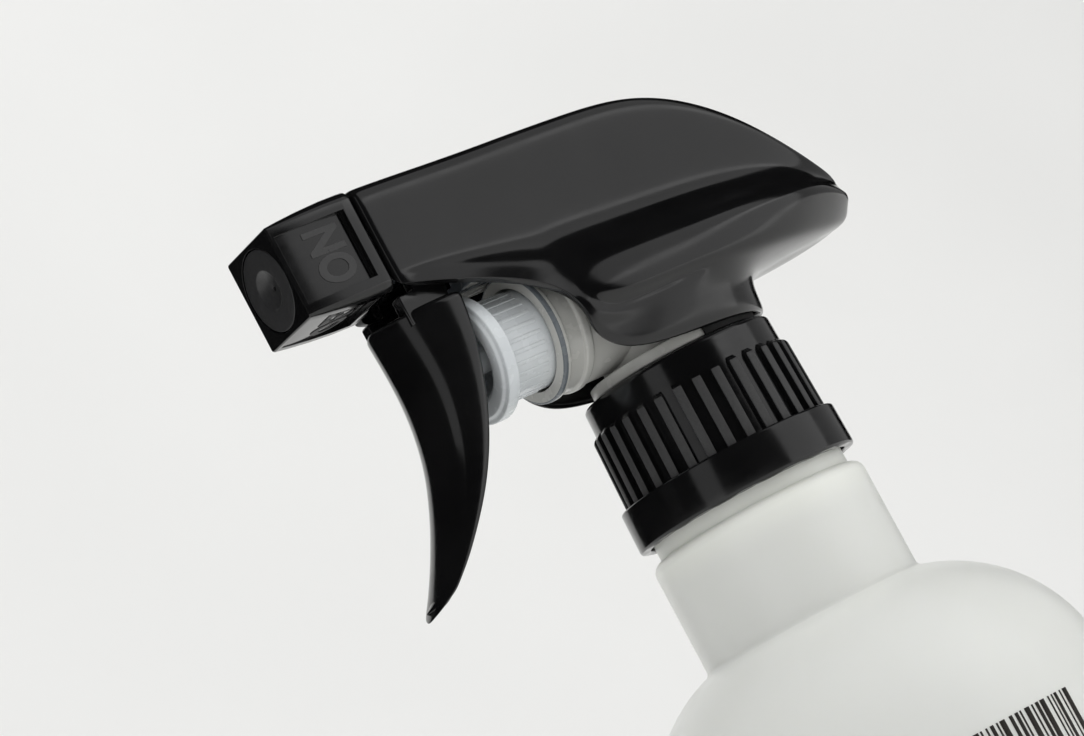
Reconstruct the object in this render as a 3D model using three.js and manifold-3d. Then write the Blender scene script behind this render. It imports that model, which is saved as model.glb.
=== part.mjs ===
// Hand trigger sprayer on a round half-litre bottle, as separate pieces.
// Millimetres. +Z is up along the bottle's axis, the origin is the middle of the base, and the
// nozzle points along -X. Head pieces are drawn from the lower edge of the closure collar.

import * as THREE from 'three';
import { mergeVertices } from 'three/addons/utils/BufferGeometryUtils.js';
import Module from 'manifold-3d';

const wasm = await Module();
wasm.setup();

// ---- driving dimensions ------------------------------------------------------------------

// Bottle
const bodyRadius = 35;
const shoulderHeight = 150; // base to the top of the shoulder
const shoulderRadius = 24.4; // rounding between the side and the grip neck
const baseCorner = 5;
const bottleWall = 1.2;
const baseThickness = 2.2;
const pushUp = 1; // depth of the ring-shaped recess under the base
const basePadRadius = 8; // flat middle pad, level with the standing ring
const standingRingWidth = 4;
const gripRadius = 17.1; // smooth grip neck under the collar
const gripLength = 15.85;
const gripCorner = 1.2;
const beadRadius = 15.3; // narrower bead that enters the collar
const beadLength = 5.8;
const finishRadius = 12.7; // neck finish under the thread
const finishBore = 10.8;
const finishLength = 14.8;
const threadDepth = 0.85;
const threadPitch = 4.23;
const threadTurns = 1.5;
const threadHeight = 1.6;

// Closure collar
const collarGap = 3.15; // open gap between the grip neck and the collar
const collarHeight = 22.56;
const collarTopRadius = 15.07;
const collarFootRadius = 15.5; // root of the ribs, just above the flange
const flangeRadius = 17.5;
const flangeHeight = 6.67;
const flangeDraft = 0.14;
const collarEdge = 0.55;
const collarLip = 1.26; // inward lip over the retainer's flange
const ribCount = 32;
const ribWidth = 1.4;
const ribRise = 0.83; // how far a rib stands out of the collar
const ribTop = 18.8;

// Running and seating clearances
const seatGap = 0.3; // between touching faces
const slipGap = 0.35; // radial, round parts that turn or slip in
const pistonGap = 0.4;
const sealGap = 0.15;
const pivotGap = 0.15;

// Dip tube, retainer and gasket
const tubeRadius = 2.4;
const tubeBore = 1.7;
const tubeSocketDepth = 9;
const tubeFloorGap = 3.5; // strainer to the inside of the bottle's base
const strainerRadius = 3.4;
const strainerLength = 7;
const strainerOverlap = 5;
const retainerFlangeRadius = 13.4;
const retainerFlange = 1.6;
const retainerStemRadius = 5;
const retainerStemLength = 11.3;
const spigotRadius = 3.6;
const spigotLength = 6;
const seatBore = 1.6; // hole that the inlet ball closes
const ballRadius = 2.2;
const ballLift = 1;
const gasketThickness = 1.4;
const ventRadius = 0.6;
const ventOffset = 8;

// Pump body
const columnRadius = 10;
const columnHeight = 50.4 - columnRadius; // the wider the column, the lower it ends, to clear the shroud
const plinthRadius = 12.9;
const plinthHeight = 1.8;
const cylinderHeight = 34.6; // of the pump cylinder's axis
const cylinderRadius = 9.3;
const cylinderMouth = 21.5; // column axis to the mouth
const cylinderBore = 7.9;
const cylinderEnd = 4.5; // column axis to the bore's end wall
const mouthBeadRadius = 9.8;
const mouthBeadLength = 1.5;
const shoulderBead = 4.2; // mouth to the second bead
const portRadius = 1.3;
const valveBore = 3;
const valveSeatBore = 1.6;
const valveSeatHeight = 38.2;
const upperColumnRadius = 5;
const upperColumnTop = 59;
const barrelHeight = 55.1; // of the barrel and nozzle axis
const barrelRadius = 3.8;
const barrelBore = 1.5;
const barrelReach = 44.5;
const shelfReach = 27; // column axis to the front of the shelf over the piston
const shelfHalf = 7;
const shelfThickness = 1.5;
const webHalf = 1.2; // half thickness of the rib that carries the barrel

// Piston
const pistonRimRadius = 9.4;
const pistonRimBack = 29.3; // column axis to the back of the rim
const pistonRimThickness = 2.4;
const pistonCupRadius = 5.6;
const pistonWebFront = 26;
const pistonWeb = 1.6;
const pistonPostRadius = 2.2;
const pistonPostTip = 31.3;
const pistonBack = 13.8;
const sealLength = 3.8;
const sealLip = 0.9;
const pistonRibCount = 16;
const pistonRibHeight = 0.18;
const pistonRibWidth = 0.9;

// Springs
const springCoilRadius = 4.3;
const springWire = 0.5; // wire radius
const springTurns = 6;
const valveCoilRadius = 1.9;
const valveWire = 0.25;
const valveTurns = 5;

// Outlet valve
const poppetRadius = 2.55;
const poppetThickness = 1;
const poppetStemRadius = 1.1;
const poppetStemLength = 3;
const poppetNib = 1.4;
const plugTop = 58.7;
const plugLength = 1.9;
const plugStemTip = 50;
const plugSeatRadius = 2.2;
const plugStemRadius = 1.2;

// Trigger
const pivotX = -34;
const pivotZ = 52.5;
const pivotPinRadius = 1.6;
const triggerEarRadius = 3.2;
const armInner = 4.3; // arms' inner face, from the middle
const armOuter = 6.6;
const armFront = -40.5;
const armBack = -32.3;
const armShoulder = 46.2; // where the arms narrow to pass behind the nose
const noseClearX = -37.6;
const ledgeHeight = 42.2; // top of the wide blade
const knuckleTop = 43.9;
const ledgeThickness = 1.8;
const triggerTipHeight = 2.6;
const triggerPlugHeight = 9; // the tip is solid below this
const pushRibHeight = 31; // rib that presses the piston's post
const pushRibTop = 38;
const pushRibHalfWidth = 1.6;

// Blade of the trigger at a few heights: front and back of the side view, and half width
const bladeStations = [
  { z: 2.6, front: -56.5, back: -53.4, half: 4.4 },
  { z: 7.5, front: -53.4, back: -48.9, half: 5.2 },
  { z: 15.5, front: -48.4, back: -42.4, half: 6.5 },
  { z: 23.6, front: -44.7, back: -37.4, half: 7.4 },
  { z: 33.5, front: -43, back: -33.6, half: 8.3 },
  { z: 42.2, front: -43.5, back: -31.7, half: 8.7 },
  { z: 43.9, front: -43.6, back: -31.6, half: 8.7 },
];
const bladeSteps = 12;
const bladeInner = 0.78; // inner width of the hollow back, as a share of the outer
const bladeWallFront = 0.22; // front wall, as a share of the depth

// Shroud
const shroudWall = 1.2;
const shroudEdge = 1.7; // rounding along the top
const noseX = -40.2;
const noseBottom = 47.3;
const noseRing = 1.5;
const tailX = 41.5;
const skirtRadius = 15.4;
const skirtBottom = 24;
const skirtTop = 35.6;
const lobeFront = -18;
const lobeHalfWidth = 13.3;
const lobeBack = -10; // where the lobe's lower edge meets the skirt

// Shroud at stations along it: heights of its top, of the crease under the flat sides, of its
// widest line and of its underside, with the half width of the flat sides and of the widest line
const shroudStations = [
  { x: noseX, top: 62.9, crease: 49.8, belly: 47, low: 44.5, flat: 8.4, wide: 8.6 },
  { x: -30, top: 62.5, crease: 48.4, belly: 43.6, low: 39.5, flat: 8.6, wide: 9.8 },
  { x: -18, top: 62.1, crease: 46.2, belly: 39.6, low: 31.2, flat: 8.8, wide: 12.6 },
  { x: -5, top: 61.8, crease: 44.9, belly: 38.2, low: 30.6, flat: 8.9, wide: 14.2 },
  { x: 5, top: 61.4, crease: 44.2, belly: 38, low: 30.6, flat: 8.9, wide: 14.8 },
  { x: 12, top: 60, crease: 43.9, belly: 37.7, low: 30.6, flat: 8.9, wide: 14.6 },
  { x: 19, top: 56.9, crease: 43.4, belly: 37.3, low: 30.6, flat: 8.8, wide: 14 },
  { x: 26, top: 51.7, crease: 42.3, belly: 36.7, low: 30.6, flat: 8.3, wide: 12.7 },
  { x: 33, top: 44, crease: 40, belly: 35.8, low: 30.8, flat: 7, wide: 10.4 },
  { x: 38, top: 38.7, crease: 36.7, belly: 35, low: 31.4, flat: 4.8, wide: 7.6 },
  { x: tailX, top: 35.8, crease: 34.9, belly: 34.2, low: 32.8, flat: 1.8, wide: 3 },
];
const shroudSteps = 16;

// Nozzle
const capFront = 54.7;
const capRear = 40.6;
const capFrontHalf = 7;
const capRearHalf = 7.8;
const capBulge = 1.6;
const capCorner = 1.4;
const capBore = 6.3;
const capFloor = 51; // where the cap's bore ends
const capSteps = 6;
const panelDepth = 0.35;
const panelHalf = 4.9;
const panelStart = 42.2;
const panelEnd = 52.6;
const discRadius = 6.2;
const discThickness = 1.3;
const discStubRadius = 2.7;
const dimpleRadius = 2.9;
const dimpleDepth = 1;
const orificeRadius = 0.35;
const bushingRadius = 5.9;
const bushingFlangeRadius = 6.3;
const bushingBack = 37.5;
const bushingFront = 49.6;
const bushingFlange = 0.9;
const sealGroove = 5.2;
const sealGrooveStart = 43;
const sealGrooveEnd = 45.4;
const swirlRadius = 2.95;
const swirlPocketStart = 46.6;
const swirlSlots = 3;
const swirlSlotWidth = 0.8;

// Faces round a full turn, and steps along one turn of a spring
const fine = 40;
const medium = 32;
const small = 16;
const coilSteps = 10;

// ---- values that follow from them --------------------------------------------------------

const gripTop = shoulderHeight + gripLength;
const collarBase = gripTop + collarGap;
const finishTop = gripTop + beadLength + finishLength;
const finishTopLocal = finishTop - collarBase;
const gasketBottom = finishTopLocal + seatGap;
const retainerBottom = gasketBottom + gasketThickness + seatGap;
const retainerTop = retainerBottom + retainerFlange;
const lipUnderside = collarHeight - collarLip;
const columnBottom = retainerTop + seatGap;
const lipHole = columnRadius + slipGap;
const collarBore = finishRadius + threadDepth + slipGap;
const counterBore = beadRadius + 0.6;
const counterDepth = beadLength - collarGap + 0.8;
const plinthBottom = collarHeight + seatGap;
const spigotTop = retainerTop + spigotLength;
const ballSeat = spigotTop;
const ballRise = Math.sqrt(ballRadius ** 2 - seatBore ** 2) + 0.05;
const ballCentre = ballSeat + ballRise;
const chamberTop = ballCentre + ballRadius + ballLift + 0.1;
const chamberRadius = ballRadius + slipGap;
const tubeTop = retainerBottom - retainerStemLength + tubeSocketDepth - seatGap;
const strainerBottom = baseThickness + tubeFloorGap - collarBase;
const tubeBottom = strainerBottom + strainerLength - strainerOverlap;
const shelfHeight = cylinderHeight + Math.max(mouthBeadRadius, pistonRimRadius) + 0.2;
const pistonSkirt = cylinderBore - pistonGap;
const sealSeat = pistonSkirt - sealLip;
const rimFront = pistonRimBack + pistonRimThickness;
const pushFace = -(pistonPostTip + seatGap);
const discBack = capFront - 0.1 - discThickness;
const poppetBottom = valveSeatHeight + seatGap;

// ---- helpers -----------------------------------------------------------------------------

function asSolid(geometry) {
  const bare = geometry.clone();
  bare.deleteAttribute('normal');
  bare.deleteAttribute('uv');
  const merged = mergeVertices(bare, 1e-4);
  const corners = merged.attributes.position.array;
  const faces = [];
  for (let i = 0; i < merged.index.count; i += 3) {
    const [a, b, c] = merged.index.array.slice(i, i + 3);
    if (a !== b && b !== c && c !== a) faces.push(a, b, c);
  }
  const mesh = (list) => new wasm.Mesh({
    numProp: 3,
    vertProperties: new Float32Array(corners),
    triVerts: new Uint32Array(list),
  });
  const body = new wasm.Manifold(mesh(faces));
  if (body.volume() > 0) return body;
  return new wasm.Manifold(mesh(faces.reverse()));
}

const joinAll = (bodies) => bodies.reduce((whole, next) => whole.add(next));

const cutAll = (body, tools) => tools.reduce((whole, tool) => whole.subtract(tool), body);

const profile = (points) => points.map(([r, along]) => new THREE.Vector2(r, along));

// Turned about the Z axis: points are [radius, height]
function turnedZ(points, segments = medium) {
  return asSolid(new THREE.LatheGeometry(profile(points), segments).rotateX(Math.PI / 2));
}

// Turned about an axis along X at the given height: points are [radius, x]
function turnedX(points, height, segments = medium) {
  const lathe = new THREE.LatheGeometry(profile(points), segments).rotateZ(-Math.PI / 2);
  return asSolid(lathe.translate(0, 0, height));
}

const discZ = (radius, low, high, segments = medium) =>
  turnedZ([[0, low], [radius, low], [radius, high], [0, high]], segments);

const discX = (radius, from, to, height, segments = medium) =>
  turnedX([[0, from], [radius, from], [radius, to], [0, to]], height, segments);

function block(x0, x1, y0, y1, z0, z1) {
  const box = new THREE.BoxGeometry(x1 - x0, y1 - y0, z1 - z0);
  return asSolid(box.translate((x0 + x1) / 2, (y0 + y1) / 2, (z0 + z1) / 2));
}

const ring = (points) => [...points, points[0]];

// A side view in X and Z, given thickness across Y between two faces
function sidePlate(shape, y0, y1, options = {}) {
  const bevel = options.bevel ?? 0;
  const settings = {
    depth: y1 - y0 - 2 * bevel,
    bevelEnabled: bevel > 0,
    bevelThickness: bevel,
    bevelSize: bevel,
    bevelOffset: -bevel,
    bevelSegments: 3,
    curveSegments: options.curveSegments ?? 8,
  };
  const plate = new THREE.ExtrudeGeometry(shape, settings).rotateX(Math.PI / 2);
  return asSolid(plate.translate(0, y1 - bevel, 0));
}

const outline = (points) => new THREE.Shape(points.map(([x, y]) => new THREE.Vector2(x, y)));

function arc(cx, cy, radius, from, to, steps) {
  return Array.from({ length: steps + 1 }, (_, i) => {
    const angle = THREE.MathUtils.degToRad(from + ((to - from) * i) / steps);
    return [cx + radius * Math.cos(angle), cy + radius * Math.sin(angle)];
  });
}

const finish = {
  blackGloss: [0x0c0c0d, 0.22, 0],
  blackMatt: [0x2a2a2b, 0.6, 0],
  milky: [0xdfe3da, 0.45, 0],
  clear: [0xc8ccc8, 0.3, 0],
  white: [0xe4ebee, 0.35, 0],
  grey: [0x8a8f94, 0.5, 0],
  steel: [0xb8babd, 0.25, 1],
};

function piece(name, body, [colour, roughness, metalness]) {
  const { vertProperties, triVerts } = body.getMesh();
  const geometry = new THREE.BufferGeometry();
  geometry.setAttribute('position', new THREE.BufferAttribute(vertProperties, 3));
  geometry.setIndex(new THREE.BufferAttribute(triVerts, 1));
  geometry.computeVertexNormals();
  const material = new THREE.MeshStandardMaterial({ color: colour, roughness, metalness });
  const mesh = new THREE.Mesh(geometry, material);
  mesh.name = name;
  return mesh;
}

// The second coordinate of a plane curve where its first reaches a value
function curveAt(curve, value) {
  const points = curve.getPoints(120);
  const after = points.findIndex((point) => point.x >= value - 1e-9);
  if (after <= 0) return points[after === 0 ? 0 : points.length - 1].y;
  const [low, high] = [points[after - 1], points[after]];
  return THREE.MathUtils.mapLinear(value, low.x, high.x, low.y, high.y);
}

class Helix extends THREE.Curve {
  constructor(radius, turns, start, end) {
    super();
    Object.assign(this, { radius, turns, start, end });
  }

  getPoint(t, target = new THREE.Vector3()) {
    const angle = 2 * Math.PI * this.turns * t;
    const height = this.start + (this.end - this.start) * t;
    return target.set(this.radius * Math.cos(angle), this.radius * Math.sin(angle), height);
  }
}

function coil(radius, wire, turns, start, end, sides) {
  const section = outline(arc(0, 0, wire, 0, 360 * (1 - 1 / sides), sides - 1));
  return new THREE.ExtrudeGeometry(section, {
    steps: Math.round(turns * coilSteps),
    extrudePath: new Helix(radius, turns, start, end),
  });
}

// ---- bottle ------------------------------------------------------------------------------

function bottle() {
  const ringOuter = bodyRadius - baseCorner;
  const ringInner = ringOuter - standingRingWidth;
  const arcCentre = bodyRadius - shoulderRadius;
  const arcHeight = shoulderHeight - shoulderRadius;
  const angleAt = (radius, size) => THREE.MathUtils.radToDeg(Math.acos((radius - arcCentre) / size));
  const inside = gripRadius - bottleWall;
  const innerArc = shoulderRadius - bottleWall;
  const corner = baseCorner - bottleWall;
  const outer = [
    [0, 0],
    [basePadRadius, 0],
    [basePadRadius + pushUp, pushUp],
    [ringInner - pushUp, pushUp],
    [ringInner, 0],
    ...arc(ringOuter, baseCorner, baseCorner, -90, 0, 3),
    ...arc(arcCentre, arcHeight, shoulderRadius, 0, angleAt(gripRadius, shoulderRadius), 7),
    ...arc(gripRadius - gripCorner, gripTop - gripCorner, gripCorner, 0, 90, 2),
    [beadRadius, gripTop],
    [beadRadius, gripTop + beadLength - 0.4],
    [beadRadius - 0.4, gripTop + beadLength],
    [finishRadius, gripTop + beadLength],
    [finishRadius, finishTop],
  ];
  const inner = [
    [finishBore, finishTop],
    [finishBore, gripTop + 1],
    [inside, gripTop - 3],
    ...arc(arcCentre, arcHeight, innerArc, angleAt(inside, innerArc), 0, 5),
    ...arc(ringOuter, baseThickness + corner, corner, 0, -90, 2),
    [0, baseThickness],
  ];
  const thread = new Helix(
    finishRadius,
    threadTurns,
    finishTop - 3 - threadPitch * threadTurns,
    finishTop - 3,
  );
  const tooth = outline([
    [-threadHeight / 2, -0.4],
    [threadHeight / 2, -0.4],
    [threadHeight / 4, threadDepth],
    [-threadHeight / 4, threadDepth],
  ]);
  const ridge = ribbon(thread, tooth, Math.round(threadTurns * 20));
  return piece('bottle', turnedZ([...outer, ...inner], fine).add(ridge), finish.milky);
}

// A thread ridge: the section's first axis runs along Z and its second points outward
function ribbon(path, section, steps) {
  const length = 1;
  const strip = new THREE.ExtrudeGeometry(section, { depth: length, steps, bevelEnabled: false });
  const position = strip.attributes.position;
  const point = new THREE.Vector3();
  for (let i = 0; i < position.count; i += 1) {
    const along = position.getZ(i) / length;
    path.getPoint(along, point);
    const angle = Math.atan2(point.y, point.x);
    const out = path.radius + position.getY(i);
    const up = point.z + position.getX(i);
    position.setXYZ(i, out * Math.cos(angle), out * Math.sin(angle), up);
  }
  return asSolid(strip);
}

// ---- closure -----------------------------------------------------------------------------

function closureCollar() {
  const shell = turnedZ(ring([
    [lipHole, collarHeight],
    [collarTopRadius - collarEdge, collarHeight],
    [collarTopRadius - 0.15, collarHeight - 0.2],
    [collarTopRadius, collarHeight - collarEdge],
    [collarFootRadius, flangeHeight],
    [flangeRadius - flangeDraft - 0.3, flangeHeight],
    [flangeRadius - flangeDraft, flangeHeight - 0.3],
    [flangeRadius, collarEdge],
    [flangeRadius - collarEdge, 0],
    [counterBore, 0],
    [counterBore, counterDepth],
    [collarBore, counterDepth],
    [collarBore, lipUnderside],
    [lipHole, lipUnderside],
  ]), fine);
  const root = (collarTopRadius + collarBore) / 2;
  const view = outline([
    [root, flangeHeight - 0.5],
    [collarFootRadius + ribRise, flangeHeight - 0.5],
    [collarTopRadius + ribRise, ribTop - 1.1],
    [root, ribTop],
  ]);
  const rib = sidePlate(view, -ribWidth / 2, ribWidth / 2);
  const ribs = Array.from({ length: ribCount }, (_, i) => rib.rotate([0, 0, ((i + 0.5) * 360) / ribCount]));
  return piece('closure_collar', joinAll([shell, ...ribs]), finish.blackGloss);
}

function closureGasket() {
  const washer = turnedZ(ring([
    [finishBore, gasketBottom],
    [finishRadius + 0.7, gasketBottom],
    [finishRadius + 0.7, gasketBottom + gasketThickness],
    [finishBore, gasketBottom + gasketThickness],
  ]));
  return piece('closure_gasket', washer, finish.white);
}

// ---- dip tube ----------------------------------------------------------------------------

function tubeRetainer() {
  const stemBottom = retainerBottom - retainerStemLength;
  const socketTop = stemBottom + tubeSocketDepth;
  const body = turnedZ(ring([
    [tubeRadius + sealGap, stemBottom],
    [retainerStemRadius, stemBottom],
    [retainerStemRadius, retainerBottom],
    [retainerFlangeRadius, retainerBottom],
    [retainerFlangeRadius, retainerTop],
    [spigotRadius, retainerTop],
    [spigotRadius, spigotTop],
    [seatBore, spigotTop],
    [seatBore, socketTop],
    [tubeRadius + sealGap, socketTop],
  ]));
  const vent = discZ(ventRadius, retainerBottom - 1, retainerTop + 1, 12).translate([ventOffset, 0, 0]);
  return piece('tube_retainer', body.subtract(vent), finish.white);
}

function dipTube() {
  const tube = turnedZ(ring([
    [tubeBore, tubeBottom],
    [tubeRadius, tubeBottom],
    [tubeRadius, tubeTop],
    [tubeBore, tubeTop],
  ]), small);
  return piece('dip_tube', tube, finish.clear);
}

function tubeStrainer() {
  const bore = tubeRadius + sealGap;
  const cup = turnedZ([
    [0, strainerBottom],
    [strainerRadius - 0.6, strainerBottom],
    [strainerRadius, strainerBottom + 0.6],
    [strainerRadius, strainerBottom + strainerLength],
    [bore, strainerBottom + strainerLength],
    [bore, tubeBottom - seatGap],
    [tubeBore, tubeBottom - seatGap],
    [tubeBore, strainerBottom + 0.8],
    [0, strainerBottom + 0.8],
  ], small);
  const slot = block(0, strainerRadius + 1, -0.35, 0.35, strainerBottom - 1, tubeBottom - 0.6);
  const slots = Array.from({ length: 4 }, (_, i) => slot.translate([1, 0, 0]).rotate([0, 0, i * 90]));
  return piece('tube_strainer', cutAll(cup, slots), finish.white);
}

function inletBall() {
  const ball = new THREE.SphereGeometry(ballRadius, small, small / 2).translate(0, 0, ballCentre);
  return piece('inlet_ball', asSolid(ball), finish.steel);
}

// ---- pump --------------------------------------------------------------------------------

function pumpBody() {
  const bead = (from) => discX(mouthBeadRadius, -from, -from + mouthBeadLength, cylinderHeight);
  const stub = (side) => sidePlate(
    outline(arc(pivotX, pivotZ, pivotPinRadius, 0, 345, 23)),
    Math.min(side * 2, side * (armOuter - 0.2)),
    Math.max(side * 2, side * (armOuter - 0.2)),
  );
  const whole = joinAll([
    discZ(columnRadius, columnBottom, columnHeight),
    discZ(plinthRadius, plinthBottom, plinthBottom + plinthHeight),
    discX(cylinderRadius, -cylinderMouth, 0, cylinderHeight),
    bead(cylinderMouth),
    bead(cylinderMouth - shoulderBead),
    discZ(upperColumnRadius, columnHeight - 1, upperColumnTop),
    discX(barrelRadius, -barrelReach, 0, barrelHeight),
    block(pivotX - 2.6, pivotX + 2.6, -barrelRadius, barrelRadius, pivotZ - 2.4, barrelHeight),
    block(1 - cylinderMouth, 0, -webHalf, webHalf, cylinderHeight + cylinderRadius - 1, shelfHeight),
    block(-shelfReach, 0, -webHalf, webHalf, shelfHeight, barrelHeight),
    block(-shelfReach, 0, -shelfHalf, shelfHalf, shelfHeight, shelfHeight + shelfThickness),
    stub(1),
    stub(-1),
  ]);
  const bored = cutAll(whole, [
    discX(cylinderBore, -cylinderMouth - 9, -cylinderEnd, cylinderHeight),
    discX(portRadius, -cylinderEnd - 1, 0, cylinderHeight, small),
    discZ(spigotRadius + sealGap, columnBottom - 1, spigotTop + seatGap, small),
    discZ(chamberRadius, columnBottom, chamberTop, small),
    discZ(valveSeatBore, chamberTop - 1, valveSeatHeight + 1, small),
    discZ(valveBore, valveSeatHeight, upperColumnTop + 1, small),
    discX(barrelBore, -barrelReach - 1, 0, barrelHeight, small),
  ]);
  return piece('pump_body', bored, finish.clear);
}

function piston() {
  const h = cylinderHeight;
  const cup = turnedX([
    [0, -pistonPostTip],
    [1.3, -pistonPostTip + 0.25],
    [pistonPostRadius, -pistonPostTip + 1],
    [pistonPostRadius, -pistonWebFront],
    [pistonCupRadius, -pistonWebFront],
    [pistonCupRadius, -rimFront + 0.4],
    [pistonCupRadius + 0.5, -rimFront],
    [pistonRimRadius - 0.3, -rimFront + 0.9],
    [pistonRimRadius, -rimFront + 1.3],
    [pistonRimRadius, -pistonRimBack - 0.3],
    [pistonRimRadius - 0.3, -pistonRimBack],
    [pistonSkirt, -pistonRimBack],
    [pistonSkirt, -pistonBack - sealLength],
    [sealSeat, -pistonBack - sealLength],
    [sealSeat, -pistonBack],
    [pistonCupRadius, -pistonBack],
    [pistonCupRadius, -pistonWebFront + pistonWeb],
    [0, -pistonWebFront + pistonWeb],
  ], h);
  const rib = block(
    -pistonRimBack - 0.5,
    -cylinderMouth - 1,
    -pistonRibWidth / 2,
    pistonRibWidth / 2,
    pistonSkirt - 0.6,
    pistonSkirt + pistonRibHeight,
  );
  const ribs = Array.from({ length: pistonRibCount }, (_, i) =>
    rib.rotate([((i + 0.5) * 360) / pistonRibCount, 0, 0]).translate([0, 0, h]));
  return piece('piston', joinAll([cup, ...ribs]), finish.white);
}

function pistonSeal() {
  const inner = sealSeat + sealGap;
  const outer = cylinderBore - sealGap;
  const front = -pistonBack - sealLength + seatGap;
  const lip = turnedX(ring([
    [inner, front],
    [outer, front],
    [outer, front + 0.5],
    [outer - 0.35, (front - pistonBack) / 2],
    [outer, -pistonBack - 0.5],
    [outer, -pistonBack],
    [inner, -pistonBack],
  ]), cylinderHeight);
  return piece('piston_seal', lip, finish.grey);
}

function pistonSpring() {
  const start = -pistonWebFront + pistonWeb + springWire + seatGap;
  const end = -cylinderEnd - springWire - seatGap;
  const wire = coil(springCoilRadius, springWire, springTurns, start, end, 6);
  wire.rotateY(Math.PI / 2).translate(0, 0, cylinderHeight);
  return piece('piston_spring', asSolid(wire), finish.steel);
}

function outletValve() {
  const top = poppetBottom + poppetThickness;
  const poppet = turnedZ([
    [0, poppetBottom - poppetNib],
    [valveSeatBore - slipGap, poppetBottom - poppetNib],
    [valveSeatBore - slipGap, poppetBottom],
    [poppetRadius, poppetBottom],
    [poppetRadius, top],
    [poppetStemRadius, top],
    [poppetStemRadius, top + poppetStemLength],
    [0, top + poppetStemLength],
  ], small);
  return piece('outlet_valve', poppet, finish.white);
}

function outletSpring() {
  const start = poppetBottom + poppetThickness + valveWire + seatGap;
  const end = plugStemTip - valveWire - seatGap;
  const wire = coil(valveCoilRadius, valveWire, valveTurns, start, end, 5);
  return piece('outlet_spring', asSolid(wire), finish.steel);
}

function outletPlug() {
  const plug = turnedZ([
    [0, plugStemTip],
    [plugSeatRadius, plugStemTip],
    [plugSeatRadius, plugStemTip + 1],
    [plugStemRadius, plugStemTip + 1.6],
    [plugStemRadius, plugTop - plugLength],
    [valveBore - sealGap, plugTop - plugLength],
    [valveBore - sealGap, plugTop],
    [0, plugTop],
  ], small);
  return piece('outlet_plug', plug, finish.white);
}

// ---- trigger -----------------------------------------------------------------------------

const stationCurve = (key) =>
  new THREE.SplineCurve(bladeStations.map((station) => new THREE.Vector2(station.z, station[key])));

const bladeAt = (key, z) => curveAt(stationCurve(key), z);

// Section of the blade in shares of its depth (x, from the front) and half width (y)
const bladeSection = [
  [1, -1],
  [0.6, -1],
  ...arc(0.6, 0, 1, -80, 80, 12).map(([x, y]) => [0.6 - (x - 0.6) * 0.6, y]),
  [0.6, 1],
  [1, 1],
];

const hollowSection = bladeSection.map(([x, y]) => [
  x === 1 ? 1.4 : x * (1 - bladeWallFront) + bladeWallFront,
  y * bladeInner,
]);

function blade(section, low, high, steps) {
  const strip = new THREE.ExtrudeGeometry(outline(section), {
    depth: high - low,
    steps,
    bevelEnabled: false,
  });
  const position = strip.attributes.position;
  for (let i = 0; i < position.count; i += 1) {
    const z = low + position.getZ(i);
    const clamped = THREE.MathUtils.clamp(z, triggerTipHeight, knuckleTop);
    const front = bladeAt('front', clamped);
    const depth = bladeAt('back', clamped) - front;
    const half = bladeAt('half', clamped);
    position.setXYZ(i, front + position.getX(i) * depth, position.getY(i) * half, z);
  }
  return asSolid(strip);
}

function trigger() {
  const hollow = blade(hollowSection, triggerPlugHeight, ledgeHeight - ledgeThickness, bladeSteps);
  const shell = blade(bladeSection, triggerTipHeight, knuckleTop, bladeSteps).subtract(hollow);
  const beside = (y0, y1) => block(armFront - 10, armBack + 5, y0, y1, ledgeHeight, knuckleTop + 1);
  const behind = block(armBack - 2, armBack + 5, -12, 12, ledgeHeight, knuckleTop + 1);
  const tip = bladeStations[0];
  const underTip = sidePlate(outline([
    [tip.front - 5, triggerTipHeight - 6],
    [tip.front + 0.6, triggerTipHeight],
    [bladeStations[1].back + 3, bladeStations[1].z + 1],
    [bladeStations[1].back + 8, triggerTipHeight - 6],
  ]), -12, 12);
  const corner = sidePlate(outline([
    [armBack - 1.6, ledgeHeight + 0.01],
    [armBack + 3, ledgeHeight + 0.01],
    [armBack + 3, ledgeHeight - 3],
  ]), -12, 12);
  const armView = outline([
    [armFront, ledgeHeight - 1],
    [armFront, armShoulder],
    [noseClearX, armShoulder],
    ...arc(pivotX, pivotZ, triggerEarRadius, 180, 0, 10),
    [armBack, armShoulder - 0.6],
    [armBack - 1, ledgeHeight - 1],
  ]);
  const arm = (y0, y1) => sidePlate(armView, y0, y1);
  const pivotHole = sidePlate(outline(arc(pivotX, pivotZ, pivotPinRadius + pivotGap, 0, 345, 23)), -9, 9);
  const pushRib = block(
    bladeAt('front', pushRibTop) + 1,
    pushFace,
    -pushRibHalfWidth,
    pushRibHalfWidth,
    pushRibHeight,
    pushRibTop,
  );
  const whole = joinAll([
    cutAll(shell, [corner, behind, beside(armOuter, 12), beside(-12, -armOuter)]),
    arm(armInner, armOuter),
    arm(-armOuter, -armInner),
    pushRib,
  ]);
  return piece('trigger', cutAll(whole, [underTip, pivotHole]), finish.blackGloss);
}

// ---- shroud ------------------------------------------------------------------------------

const shroudCurve = (key) =>
  new THREE.SplineCurve(shroudStations.map((station) => new THREE.Vector2(station.x, station[key])));

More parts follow.
